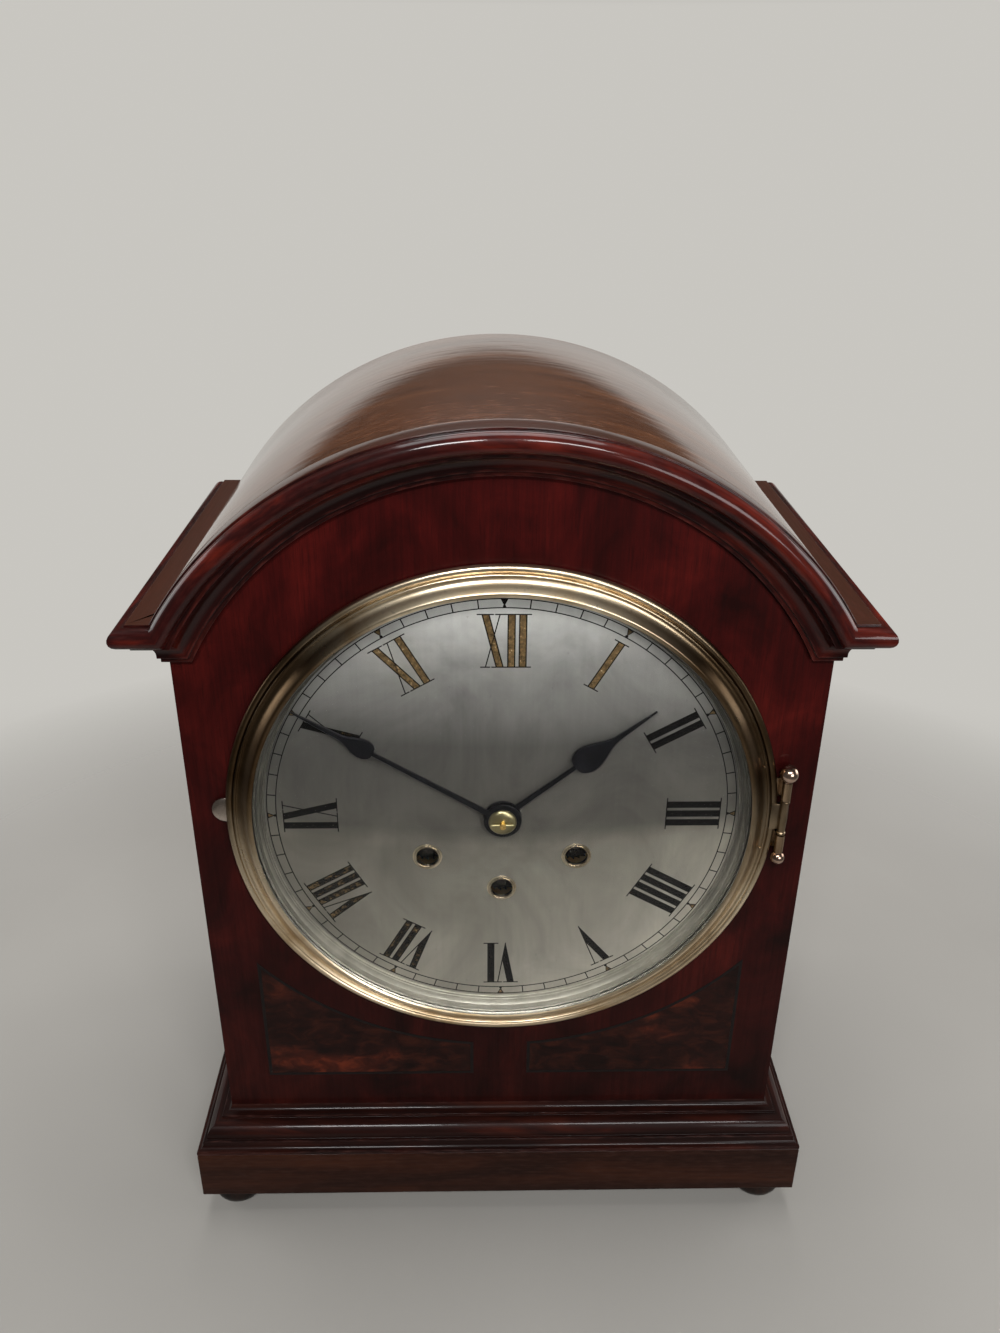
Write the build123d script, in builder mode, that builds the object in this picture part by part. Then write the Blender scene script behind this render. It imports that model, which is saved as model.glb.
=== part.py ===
from build123d import *

import math
import os

os.makedirs("parts", exist_ok=True)

# Sizes in millimetres. +X is right and +Z up as the dial is read, and the dial faces -Y.
# Heights named rise or drop are measured from the dial centre, depths from the dial face backwards.

# Case
case_width = 267.0
case_depth = 175.4
front_thickness = 12.0
side_thickness = 10.0
roof_thickness = 6.0
arch_crown = 76.3
arch_overhang = 2.47
ledge_rise = 97.0
plinth_top_drop = 188.6
plinth_height = 28.3
plinth_projection = 15.8
plinth_wall = 36.0
foot_height = 11.5
foot_radius = 13.0
foot_pad_radius = 9.5
foot_inset = 15.0
floor_thickness = 8.0
joinery_gap = 0.2
mortise_gap = 1.5

# Cornice: ledge, rounded nose, neck, cove and bead, from the top down
cornice_projection = 17.5
cornice_height = 20.5
nose_radius = 4.2
nose_drop = 5.0
ledge_projection = 11.8
neck_projection = 11.2
neck_height = 2.6
neck_step = 1.4
cove_radius = 6.0
bead_step = 1.2
bead_projection = 2.6

# Base moulding: cove, quarter round, fillet and lower cove, from the top down
base_moulding_height = 18.0
top_cove_radius = 3.5
top_fillet = 1.0
top_fillet_height = 1.3
quarter_round_radius = 6.9
low_fillet = 1.5
low_fillet_height = 1.4

# Burr panels let into the front
panel_outer_x = 113.0
panel_inner_x = 13.0
panel_end_height = 20.6
panel_margin = 32.0
panel_arc_rise = 19.0
panel_thickness = 0.8

# Back door
door_gap = 0.9
door_thickness = 10.0
door_field_margin = 22.0
door_field_depth = 3.0
sound_hole_radius = 4.0
sound_hole_ring = 34.0
sound_hole_count = 12
sound_ring_rise = 70.0
hinge_leaf_thickness = 1.2
hinge_leaf_width = 8.5
hinge_knuckle_radius = 2.2
hinge_pin_radius = 1.1
hinge_height = 36.0
hinge_leaf_root = 1.3
hinge_below_ledge = 37.0
hinge_above_foot = 58.6
latch_drop = 45.0
latch_inset = 11.0
latch_spindle_radius = 3.0
latch_knob_radius = 7.0
latch_knob_taper = 12.0
latch_reach = 7.0
latch_tongue_length = 14.0
latch_tongue_width = 7.0
latch_tongue_thickness = 2.5

# Dial
dial_set_back = 3.0
dial_radius = 105.5
dial_thickness = 1.5
dial_rim = 3.5
ring_flange_width = 7.0
ring_flange_thickness = 1.0
ring_wall = 1.5
ring_seat_width = 5.0
ring_seat_thickness = 2.0
slip_ring_foot = 2.9
slip_ring_top = 0.9
slip_ring_height = 6.9
bush_flange_radius = 6.6
bush_flange_thickness = 0.6
bush_outer_radius = 5.7
bush_bore_radius = 4.9

# Bezel and glass
bezel_overhang = 2.0
bezel_gap = 0.2
bezel_edge_height = 1.2
bezel_bead_radius = 1.6
bezel_quirk = 0.6
bezel_crest_width = 2.4
bezel_crest_height = 8.0
sight_cover = 0.3
sight_lip = 0.7
sight_roll = 0.42
glass_lap = 1.4
glass_thickness = 1.8
glass_sagitta = 9.0
glass_seat_gap = 0.5
glass_rim_gap = 0.2
bezel_knuckle_radius = 2.1
bezel_pin_radius = 1.0
bezel_hinge_offset = 0.4
bezel_hinge_forward = 4.4
bezel_hinge_rise = 2.7
bezel_knuckle_height = 17.6
lug_knuckle_height = 9.0
lug_root = 4.0
lug_half_width = 1.7
web_root = 3.0
web_set_back = 1.2
web_thickness = 2.0
knuckle_gap = 0.3
finial_neck_radius = 1.9
upper_ball_radius = 4.0
lower_ball_radius = 3.2
tab_radius = 6.0
tab_rise = 6.0
tab_thickness = 1.5

# Hands
minute_tip_margin = 3.5
minute_bulb_at = 68.5
minute_bulb_width = 9.0
hour_hand_length = 82.0
hour_bulb_at = 46.0
hour_bulb_width = 12.5
hand_thickness = 1.0
hand_hub_radius = 8.2
hand_stem_half = 1.3
hand_neck_half = 0.9
hand_shoulder_half = 1.2
hand_point_half = 0.25
bulb_heel = 0.86
bulb_length = 2.6
hour_hand_height = 2.0
minute_hand_height = 4.6
collet_radius = 6.1
collet_height = 2.2
collet_land = 1.2
collet_swell = 0.72
collet_shoulder = 0.62
minute_angle = -58.3
hour_angle = 50.7
hand_pin_radius = 0.5
hand_pin_length = 9.6
hand_pin_gap = 0.2

# Movement frame
front_plate_depth = 14.0
plate_thickness = 3.0
plate_spacing = 48.0
plate_half_width = 64.0
plate_top_rise = 60.0
plate_bottom_drop = 66.0
plate_corner_radius = 4.0
pillar_radius = 4.0
pillar_inset = 8.0
pillar_collar = 1.5
pillar_collar_length = 3.0
screw_radius = 1.9
screw_head_radius = 4.5
screw_head_height = 2.4
screw_length = 10.0
seat_board_thickness = 12.0
seat_board_depth = 62.0
seat_groove = 4.0
seat_lead = 4.0
running_gap = 0.05
end_shake = 0.3
arbor_radius = 1.0
pivot_radius = 0.7

# Wheels: straight-flanked teeth, thin enough to run with backlash on both sides
addendum = 0.8
dedendum = 1.3
root_share = 0.21
tip_share = 0.09
wheel_arms = 4
wheel_arm_width = 2.4
wheel_rim = 1.6
wheel_hub_radius = 3.0

# Tooth counts and modules
train_module = 0.5
great_teeth = 72
great_pinion = 10
intermediate_teeth = 68
centre_pinion = 10
fine_module = 0.36
centre_teeth = 96
third_pinion = 8
third_teeth = 88
escape_pinion = 8
escape_teeth = 36
escape_radius = 10.5
escape_root = 0.78
escape_back = 0.667
escape_gullet = 0.917
escape_rim = 1.4
escape_hub_radius = 2.6
strike_module = 0.4
second_teeth = 72
pin_wheel_pinion = 8
pin_wheel_teeth = 64
fly_pinion = 8
minute_module = 0.5
cannon_teeth = 24
minute_wheel_teeth = 72
hour_module = 0.6
minute_pinion = 16
hour_wheel_teeth = 64
wheel_thickness = 1.5
pinion_face = 4.5
pinion_lead = 1.5
short_lead = 1.0
great_wheel_thickness = 2.5

# Where the trains lie, as angles from one arbor to the next
intermediate_angle = -80.7
going_barrel_angle = -98.84
third_angle = 62.0
escape_angle = 120.6
minute_wheel_angle = 45.0
strike_spread = 33.0
strike_drop = 22.2
second_angle = 55.0
pin_wheel_angle = 110.0
fly_angle = 100.0
centre_wheel_front = 30.0
third_wheel_front = 40.0
escape_front = 56.0
pin_wheel_front = 36.0
second_wheel_gap = 2.0
behind_barrel_gap = 2.5

# Barrels and winding arbors
barrel_radius = 16.5
barrel_length = 24.5
barrel_wall = 1.5
barrel_front = 22.5
barrel_arbor_radius = 2.5
barrel_core_radius = 5.5
winding_square = 4.2
square_set_back = 4.5
ratchet_radius = 9.0
ratchet_teeth = 20
ratchet_root = 0.84
ratchet_back = 0.12
ratchet_front = 9.5
ratchet_thickness = 2.5

# Motion work
hour_wheel_depth = 5.0
cannon_depth = 9.0
cannon_face = 2.0
cannon_radius = 2.4
cannon_bore = 1.4
centre_arbor_front_radius = 1.3
centre_collar = 0.6
centre_arbor_end = 1.0
hour_pipe_wall = 0.9
hour_wheel_hub_radius = 5.0
minute_wheel_hub_radius = 6.0
minute_pinion_lead = 0.5
minute_stud_radius = 1.5
minute_stud_head_radius = 2.6
minute_stud_head = 0.6
minute_stud_collar_radius = 3.0
minute_stud_lead = 1.0

# Fly, hammers, gong and pendulum
fly_half_width = 9.0
fly_length = 18.0
fly_thickness = 0.8
fly_turn = 30.0
fly_hub_wall = 0.8
fly_back_gap = 3.0
strike_pin_count = 8
strike_pin_radius = 0.6
strike_pin_length = 4.0
strike_pin_inset = 0.9
pallet_distance = 13.3
pallet_clearance = 1.3
pallet_span = 37.5
pallet_thickness = 3.0
pallet_nib = 1.8
pallet_flare = 9.0
pallet_pivot_root = 2.0
crutch_length = 42.0
crutch_hub_radius = 2.2
crutch_width = 2.4
crutch_thickness = 1.5
crutch_gap = 1.0
fork_gap = 0.3
fork_thickness = 1.4
fork_reach = 1.0
pendulum_depth = 80.0
pendulum_length = 142.7
rod_end_length = 6.0
rod_radius = 1.5
rod_thread_radius = 1.1
bob_radius = 21.0
bob_thickness = 12.0
rating_nut_radius = 5.0
rating_nut_height = 4.0
spring_thickness = 0.3
spring_width = 6.0
spring_reach = 8.0
spring_head = 1.0
cock_width = 22.0
cock_height = 9.0
cock_slit = 2.4
cock_lead = 3.0
cock_slit_gap = 1.0
hammer_stud_x = 34.0
hammer_stud_drop = 56.0
hammer_stud_radius = 2.0
hammer_stud_head = 2.0
hammer_hub_radius = 4.5
hammer_head_radius = 4.5
hammer_head_height = 12.0
hammer_lift_gap = 1.2
hammer_head_x = 82.0
hammer_arm_width = 3.0
gong_rod_radius = 1.6
gong_drop = 122.0
gong_first_depth = 104.0
gong_pitch = 11.0
gong_rod_lengths = (176.0, 160.0, 146.0)
gong_block_size = 20.0

# Places that follow from the sizes above
dial_z = foot_height + plinth_height + plinth_top_drop
overall_depth = cornice_projection + case_depth + latch_reach
board_y = cornice_projection - overall_depth / 2
dial_y = board_y + dial_set_back
board_depth = -dial_set_back
back_depth = case_depth - dial_set_back
case_half = case_width / 2
inner_half = case_half - side_thickness
arch_half = case_half + arch_overhang
arch_radius = (arch_half**2 + arch_crown**2) / (2 * arch_crown)
arch_rise = ledge_rise + arch_crown - arch_radius
roof_inner_radius = arch_radius - roof_thickness
dial_opening_radius = dial_radius + dial_rim
ring_flange_radius = dial_opening_radius + ring_flange_width
bezel_radius = ring_flange_radius + bezel_overhang
sight_radius = dial_radius - sight_cover
glass_radius = sight_radius + glass_lap
bezel_crest_radius = sight_radius + bezel_crest_width
minute_hand_length = dial_radius - minute_tip_margin
panel_arc_radius = bezel_radius + panel_margin
back_plate_depth = front_plate_depth + plate_thickness + plate_spacing
plates_front = front_plate_depth + plate_thickness


def facing(depth):
    """The upright plane at a depth behind the dial face, seen from the front, round the dial centre."""
    return Plane(origin=(0, dial_y + depth, dial_z), x_dir=(1, 0, 0), z_dir=(0, -1, 0))


def section(rise=0.0, forward_of=board_depth):
    """The middle plane of the case: its x runs forwards from a depth, its y upwards from a rise."""
    origin = (0, dial_y + forward_of, dial_z + rise)
    return Plane(origin=origin, x_dir=(0, -1, 0), z_dir=(-1, 0, 0))


def front_axis(x=0.0, rise=0.0):
    """The line through a point of the dial, square to it."""
    return Axis((x, dial_y, dial_z + rise), (0, 1, 0))


def polar(start, distance, angle):
    """The point at a distance and an angle from another one, in degrees from +X towards +Z."""
    turn = math.radians(angle)
    return (start[0] + distance * math.cos(turn), start[1] + distance * math.sin(turn))


def centre_distance(module, teeth, pinion):
    return module * (teeth + pinion) / 2


def save(piece, name):
    """Labels a finished piece and writes it to its file."""
    piece.part.label = name
    export_step(piece.part, f"parts/{name}.step")


# Arbor places, each worked out from the one that it meshes with
centre_at = (0.0, 0.0)
intermediate_at = polar(
    centre_at, centre_distance(train_module, intermediate_teeth, centre_pinion), intermediate_angle
)
going_at = polar(
    intermediate_at, centre_distance(train_module, great_teeth, great_pinion), going_barrel_angle
)
third_at = polar(centre_at, centre_distance(fine_module, centre_teeth, third_pinion), third_angle)
escape_at = polar(third_at, centre_distance(fine_module, third_teeth, escape_pinion), escape_angle)
pallet_at = polar(escape_at, pallet_distance, 90)
minute_wheel_at = polar(
    centre_at, centre_distance(minute_module, minute_wheel_teeth, cannon_teeth), minute_wheel_angle
)


def striking_places(side):
    """Barrel, second wheel, pin wheel and fly of a striking train, on the left (-1) or the right (1)."""
    steps = [
        (centre_distance(train_module, great_teeth, great_pinion), second_angle),
        (centre_distance(strike_module, second_teeth, pin_wheel_pinion), pin_wheel_angle),
        (centre_distance(strike_module, pin_wheel_teeth, fly_pinion), fly_angle),
    ]
    places = [(side * strike_spread, -strike_drop)]
    for distance, angle in steps:
        places.append(polar(places[-1], distance, angle if side > 0 else 180 - angle))
    return places


strike_at = striking_places(-1)
chime_at = striking_places(1)


def bearing(start, end):
    """The direction from one arbor to another, in degrees."""
    return math.degrees(math.atan2(end[1] - start[1], end[0] - start[0]))


def gear_outline(at, teeth, module, tooth_at):
    """The corner points of a toothed wheel, with one tooth pointing along tooth_at."""
    root = module * (teeth / 2 - dedendum)
    tip = module * (teeth / 2 + addendum)
    pitch = 360 / teeth
    corners = []
    for tooth in range(teeth):
        middle = tooth_at + tooth * pitch
        corners.append(polar(at, root, middle - root_share * pitch))
        corners.append(polar(at, tip, middle - tip_share * pitch))
        corners.append(polar(at, tip, middle + tip_share * pitch))
        corners.append(polar(at, root, middle + root_share * pitch))
    return corners


def gap_at(teeth, direction):
    """The tooth direction that puts a gap between two teeth at the given direction."""
    return direction + 180 / teeth


def draw_outline(corners):
    """A face with the given corners, in the sketch that is open."""
    with BuildLine() as outline:
        Polyline(*corners, close=True)
    make_face(outline.edges())


def cut_spokes(at, rim, hub):
    """Cuts the crossings out of a wheel, in the sketch that is open."""
    with BuildSketch(mode=Mode.PRIVATE) as crossing:
        with Locations(at):
            Circle(rim)
            Circle(hub, mode=Mode.SUBTRACT)
            for arm in range(wheel_arms // 2):
                Rectangle(3 * rim, wheel_arm_width, rotation=arm * 360 / wheel_arms, mode=Mode.SUBTRACT)
    add(crossing.sketch, mode=Mode.SUBTRACT)


def add_wheel(at, teeth, module, tooth_at, front, thickness, hub=wheel_hub_radius, crossed=True):
    """Adds a toothed wheel to the part that is open, with its front at the given depth."""
    with BuildSketch(facing(front + thickness)) as face:
        draw_outline(gear_outline(at, teeth, module, tooth_at))
        if crossed:
            cut_spokes(at, module * (teeth / 2 - dedendum) - wheel_rim, hub)
    extrude(face.sketch, amount=thickness)


def add_disc(at, radius, front, back, mode=Mode.ADD):
    """Adds a round disc or rod square to the dial, between two depths, to the part that is open."""
    with BuildSketch(facing(back)) as face:
        with Locations(at):
            Circle(radius)
    extrude(face.sketch, amount=back - front, mode=mode)


def add_arbor(at, radius=arbor_radius):
    """Adds an arbor that turns between the plates, with a pivot at each end."""
    add_disc(at, radius, plates_front + end_shake, back_plate_depth - end_shake)
    add_disc(at, pivot_radius, front_plate_depth + end_shake, back_plate_depth + plate_thickness - end_shake)


# Bun feet: four turned wooden feet under the corners of the plinth
plinth_half = case_half + plinth_projection
plinth_front = board_y - plinth_projection
back_y = board_y + case_depth
foot_places = [
    (x, y)
    for x in (foot_inset - plinth_half, plinth_half - foot_inset)
    for y in (plinth_front + foot_inset, back_y - foot_inset)
]
with BuildPart() as bun_feet:
    for place in foot_places:
        with BuildSketch(Plane(origin=(*place, 0), x_dir=(1, 0, 0), z_dir=(0, -1, 0))):
            with BuildLine():
                Polyline((foot_pad_radius, foot_height), (0, foot_height), (0, 0), (foot_pad_radius, 0))
                ThreePointArc(
                    (foot_pad_radius, 0), (foot_radius, foot_height / 2), (foot_pad_radius, foot_height)
                )
            make_face()
        revolve(axis=Axis((*place, 0), (0, 0, 1)))
save(bun_feet, "bun_feet")

# Plinth: the square frame that carries the case
plinth_depth = back_y - plinth_front
with BuildPart() as plinth:
    with BuildSketch(Plane.XY.offset(foot_height)):
        with Locations((0, plinth_front + plinth_depth / 2)):
            Rectangle(2 * plinth_half, plinth_depth)
            Rectangle(
                2 * (plinth_half - plinth_wall), plinth_depth - 2 * plinth_wall, mode=Mode.SUBTRACT
            )
    extrude(amount=plinth_height)
save(plinth, "plinth")


# Mouldings: a profile is a list of points, projection then height, where four numbers give an arc
def cornice_profile():
    nose_p = cornice_projection - nose_radius
    upper = -nose_drop + math.sqrt(nose_radius**2 - (nose_p - ledge_projection) ** 2)
    lower = -nose_drop - math.sqrt(nose_radius**2 - (nose_p - neck_projection) ** 2)
    neck_end = lower - neck_height
    cove_p = neck_projection - neck_step
    bend = cove_radius * math.sqrt(0.5)
    cove_end = (cove_p - cove_radius, neck_end - cove_radius)
    return [
        (0, 0),
        (ledge_projection, 0),
        (ledge_projection, upper),
        (cornice_projection, -nose_drop, neck_projection, lower),
        (neck_projection, neck_end),
        (cove_p, neck_end),
        (cove_p - bend, neck_end - cove_radius + bend, *cove_end),
        (cove_end[0], cove_end[1] - bead_step),
        (bead_projection, cove_end[1] - bead_step),
        (bead_projection, -cornice_height),
        (0, -cornice_height),
    ]


def base_profile():
    cove_bend = top_cove_radius * (1 - math.sqrt(0.5))
    fillet_p = top_cove_radius + top_fillet
    fillet_h = base_moulding_height - top_cove_radius
    round_h = fillet_h - top_fillet_height
    round_bend = quarter_round_radius * math.sqrt(0.5)
    low_p = fillet_p + quarter_round_radius + low_fillet
    low_h = round_h - quarter_round_radius
    low_cove = plinth_projection - low_p
    low_bend = low_cove * (1 - math.sqrt(0.5))
    return [
        (0, base_moulding_height),
        (cove_bend, base_moulding_height - top_cove_radius + cove_bend, top_cove_radius, fillet_h),
        (fillet_p, fillet_h),
        (fillet_p, round_h),
        (
            fillet_p + round_bend,
            low_h + round_bend,
            fillet_p + quarter_round_radius,
            low_h,
        ),
        (low_p, low_h),
        (low_p, low_h - low_fillet_height),
        (
            low_p + low_bend,
            low_h - low_fillet_height - low_cove + low_bend,
            plinth_projection,
            low_h - low_fillet_height - low_cove,
        ),
        (plinth_projection, 0),
        (0, 0),
    ]


def draw_profile(steps, place):
    """Draws a profile's lines and arcs, each point put in its place by a function."""
    here = place(*steps[0][-2:])
    for step in steps[1:]:
        there = place(*step[-2:])
        if len(step) == 4:
            ThreePointArc(here, place(*step[:2]), there)
        else:
            Line(here, there)
        here = there


def moulding_block(steps, rise):
    """A block as deep and wide as the case, with the moulding on its front and both sides, mitred."""
    top, bottom = steps[0][-1], steps[-1][-1]
    with BuildPart() as block:
        with BuildSketch(section(rise)):
            with BuildLine():
                draw_profile(steps, lambda p, h: (p, h))
                Polyline((0, bottom), (-case_depth, bottom), (-case_depth, top), (0, top))
            make_face()
        extrude(amount=case_width, both=True)
        with BuildSketch(facing(back_depth)):
            with BuildLine():
                draw_profile(steps, lambda p, h: (case_half + p, rise + h))
                draw_profile(steps, lambda p, h: (-case_half - p, rise + h))
                Line((-case_half, rise + top), (case_half, rise + top))
                Line((-case_half, rise + bottom), (case_half, rise + bottom))
            make_face()
        extrude(amount=2 * case_depth, mode=Mode.INTERSECT)
    return block.part


def cut_case(bottom_drop, top_rise):
    """Takes the case's own outline, between two heights, out of the part that is open."""
    with BuildSketch(facing(back_depth)) as face:
        with Locations((0, (top_rise - bottom_drop) / 2)):
            Rectangle(case_width, top_rise + bottom_drop)
    extrude(face.sketch, amount=case_depth, mode=Mode.SUBTRACT)


# Base moulding: planted round the foot of the case, on top of the plinth
base_block = moulding_block(base_profile(), -plinth_top_drop)
with BuildPart() as base_moulding:
    add(base_block)
    cut_case(plinth_top_drop, 0)
save(base_moulding, "base_moulding")

# Cornice: the arch moulding mitred to two short returns, which run back along the sides
arch_inner = arch_radius - cornice_height
mitre_low = (
    math.sqrt(arch_inner**2 - (ledge_rise - cornice_height - arch_rise) ** 2),
    ledge_rise - cornice_height,
)
mitre_high = (math.sqrt(arch_radius**2 - (ledge_rise - arch_rise) ** 2), ledge_rise)
mitre_slope = (mitre_high[0] - mitre_low[0]) / cornice_height


def arch_field():
    """Draws the field over the two mitres, which the arch moulding fills."""
    reach = arch_radius
    wide = mitre_high[0] + mitre_slope * reach
    draw_outline(
        [
            (-mitre_low[0], mitre_low[1]),
            mitre_low,
            (wide, ledge_rise + reach),
            (-wide, ledge_rise + reach),
        ]
    )


with BuildPart() as arch_moulding:
    with BuildSketch(section(arch_rise)):
        with BuildLine():
            draw_profile(cornice_profile(), lambda p, h: (p, arch_radius + h))
            Line((0, arch_inner), (0, arch_radius))
        make_face()
    revolve(axis=front_axis(rise=arch_rise))
    with BuildSketch(facing(board_depth)):
        arch_field()
    extrude(amount=2 * cornice_projection, mode=Mode.INTERSECT)
cornice_block = moulding_block(cornice_profile(), ledge_rise)
with BuildPart() as cornice:
    add(cornice_block)
    cut_case(0, ledge_rise)
    with BuildSketch(facing(board_depth)):
        arch_field()
    extrude(amount=2 * cornice_projection, mode=Mode.SUBTRACT)
    add(arch_moulding.part)
save(cornice, "cornice")


# Front board: arched, with the round opening for the dial and pockets for the burr panels
def panel_arc(x):
    """The height of the panels' hollow top at a distance from the middle."""
    return panel_arc_rise - math.sqrt(panel_arc_radius**2 - x**2)


def panel_face(side):
    """The outline of one burr panel: square below, with a hollow arc along the top."""
    middle = (panel_inner_x + panel_outer_x) / 2
    inner, outer = side * panel_inner_x, side * panel_outer_x
    bottom = panel_arc(panel_inner_x) - panel_end_height
    with BuildLine() as outline:
        Polyline(
            (inner, panel_arc(panel_inner_x)),
            (inner, bottom),
            (outer, bottom),
            (outer, panel_arc(panel_outer_x)),
        )
        ThreePointArc(
            (outer, panel_arc(panel_outer_x)),
            (side * middle, panel_arc(middle)),
            (inner, panel_arc(panel_inner_x)),
        )
    make_face(outline.edges())


front_height = ledge_rise + plinth_top_drop
board_back = board_depth + front_thickness
with BuildPart() as case_front:
    with BuildSketch(facing(board_back)):
        with Locations((0, ledge_rise)):
            Rectangle(2 * roof_inner_radius, roof_inner_radius, align=(Align.CENTER, Align.MIN))
        with Locations((0, arch_rise)):
            Circle(roof_inner_radius, mode=Mode.INTERSECT)
        with Locations((0, ledge_rise)):
            Rectangle(case_width, front_height, align=(Align.CENTER, Align.MAX))
        Circle(dial_opening_radius, mode=Mode.SUBTRACT)
    extrude(amount=front_thickness)
    for side in (-1, 1):
        with BuildSketch(facing(board_depth + panel_thickness)):
            panel_face(side)
        extrude(amount=panel_thickness, mode=Mode.SUBTRACT)
save(case_front, "case_front")

# Burr panels: two sheets of burr veneer on a thin core, glued into the pockets
with BuildPart() as burr_panels:
    for side in (-1, 1):
        with BuildSketch(facing(board_depth + panel_thickness)):
            panel_face(side)
        extrude(amount=panel_thickness)
save(burr_panels, "burr_panels")

# Sides: two boards behind the front, grooved for the seat board, the left one mortised for the latch
seat_top = -plate_bottom_drop
seat_front = front_plate_depth - seat_lead
seat_middle_y = dial_y + seat_front + seat_board_depth / 2
latch_x = -(inner_half - latch_inset)
tongue_depth = back_depth - door_thickness - latch_tongue_thickness - end_shake
with BuildPart() as case_sides:
    for side in (-1, 1):
        with BuildSketch(facing(back_depth)):
            with Locations((side * (case_half - side_thickness / 2), ledge_rise)):
                Rectangle(side_thickness, front_height, align=(Align.CENTER, Align.MAX))
        extrude(amount=case_depth - front_thickness)
        with Locations((side * inner_half, seat_middle_y, dial_z + seat_top)):
            Box(
                2 * seat_groove,
                seat_board_depth + 2 * joinery_gap,
                seat_board_thickness + 2 * joinery_gap,
                align=(Align.CENTER, Align.CENTER, Align.MAX),
                mode=Mode.SUBTRACT,
            )
    with BuildSketch(facing(tongue_depth + latch_tongue_thickness + end_shake)):
        with Locations((-inner_half, -latch_drop)):
            Rectangle(2 * (latch_tongue_length - latch_inset + mortise_gap), 2 * latch_tongue_length)
    extrude(amount=latch_tongue_thickness + 2 * end_shake, mode=Mode.SUBTRACT)
save(case_sides, "case_sides")

# Roof: the bent shell over the arch, standing on the sides and the cornice
with BuildPart() as roof_shell:
    with BuildSketch(facing(back_depth)):
        with Locations((0, arch_rise)):
            Circle(arch_radius)
            Circle(roof_inner_radius, mode=Mode.SUBTRACT)
        with Locations((0, ledge_rise)):
            Rectangle(3 * arch_radius, 3 * arch_radius, align=(Align.CENTER, Align.MAX), mode=Mode.SUBTRACT)
    extrude(amount=case_depth)
save(roof_shell, "roof_shell")

# Floor: the bottom board, on the plinth between the walls
floor_back = back_depth - door_thickness - door_gap
with BuildPart() as case_floor:
    with BuildSketch(facing(floor_back)):
        with Locations((0, -plinth_top_drop)):
            Rectangle(2 * inner_half, floor_thickness, align=(Align.CENTER, Align.MIN))
    extrude(amount=floor_back - board_back)
save(case_floor, "case_floor")

# Seat board: carries the movement, with its ends in the grooves of the sides
with BuildPart() as seat_board:
    with Locations((0, seat_middle_y, dial_z + seat_top)):
        Box(
            2 * (inner_half + seat_groove - joinery_gap),
            seat_board_depth,
            seat_board_thickness,
            align=(Align.CENTER, Align.CENTER, Align.MAX),
        )
save(seat_board, "seat_board")


# Back door: an arched panel with a sunk field and a ring of sound holes
def draw_door(margin):
    """The arched outline of the door, drawn in by a margin from the case."""
    half = inner_half - margin
    radius = roof_inner_radius - margin
    bottom = -plinth_top_drop + margin
    spring = arch_rise + math.sqrt(radius**2 - half**2)
    with BuildLine() as outline:
        Polyline((-half, spring), (-half, bottom), (half, bottom), (half, spring))
        ThreePointArc((half, spring), (0, arch_rise + radius), (-half, spring))
    make_face(outline.edges())


latch_at = (latch_x, -latch_drop)
with BuildPart() as back_door:
    with BuildSketch(facing(back_depth)):
        draw_door(door_gap)
        with Locations(latch_at):
            Circle(latch_spindle_radius + running_gap, mode=Mode.SUBTRACT)
        with Locations((0, sound_ring_rise)):
            with PolarLocations(sound_hole_ring, sound_hole_count):
                Circle(sound_hole_radius, mode=Mode.SUBTRACT)
    extrude(amount=door_thickness)
    with BuildSketch(facing(back_depth)):
        draw_door(door_gap + door_field_margin)
    extrude(amount=door_field_depth, mode=Mode.SUBTRACT)
save(back_door, "back_door")

# Back door hinges: two brass butts on the right, each with two case knuckles round one door knuckle
hinge_x = inner_half - door_gap / 2
hinge_y = back_y + hinge_knuckle_radius
third_of_hinge = hinge_height / 3
hinge_rises = (ledge_rise - hinge_below_ledge, hinge_above_foot - plinth_top_drop)


def add_leaf(rise, height, side):
    """A hinge leaf with its knuckle, on the case side (1) or on the door (-1)."""
    with Locations((hinge_x + side * hinge_leaf_root, back_y, dial_z + rise)):
        Box(
            hinge_leaf_width,
            hinge_leaf_thickness,
            height,
            align=(Align.MIN if side > 0 else Align.MAX, Align.MIN, Align.CENTER),
        )
    with Locations((hinge_x, hinge_y, dial_z + rise)):
        Cylinder(hinge_knuckle_radius, height)
        Cylinder(hinge_pin_radius + running_gap, height, mode=Mode.SUBTRACT)


with BuildPart() as back_door_hinges:
    for rise in hinge_rises:
        for end in (-1, 1):
            add_leaf(rise + end * third_of_hinge, third_of_hinge - knuckle_gap, 1)
        with Locations((hinge_x, hinge_y, dial_z + rise)):
            Cylinder(hinge_pin_radius, hinge_height)
        for end in (-1, 1):
            with Locations((hinge_x, hinge_y, dial_z + rise + end * hinge_height / 2)):
                Cylinder(hinge_knuckle_radius, knuckle_gap * 2)
save(back_door_hinges, "back_door_hinges")

with BuildPart() as back_door_hinge_leaves:
    for rise in hinge_rises:
        add_leaf(rise, third_of_hinge - knuckle_gap, -1)
save(back_door_hinge_leaves, "back_door_hinge_leaves")

# Latch: a turn knob whose tongue hangs down when it is open and turns into the mortise of the left side
with BuildPart() as back_door_latch:
    add_disc(latch_at, latch_spindle_radius, tongue_depth, back_depth + 2 * end_shake)
    with BuildSketch(facing(back_depth + latch_reach)):
        with Locations(latch_at):
            Circle(latch_knob_radius)
    extrude(amount=latch_reach - 2 * end_shake, taper=-latch_knob_taper)
    with BuildSketch(facing(tongue_depth + latch_tongue_thickness)):
        with Locations(latch_at):
            Circle(latch_tongue_width / 2)
            Rectangle(latch_tongue_width, latch_tongue_length, align=(Align.CENTER, Align.MAX))
    extrude(amount=latch_tongue_thickness)
save(back_door_latch, "back_door_latch")

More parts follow.
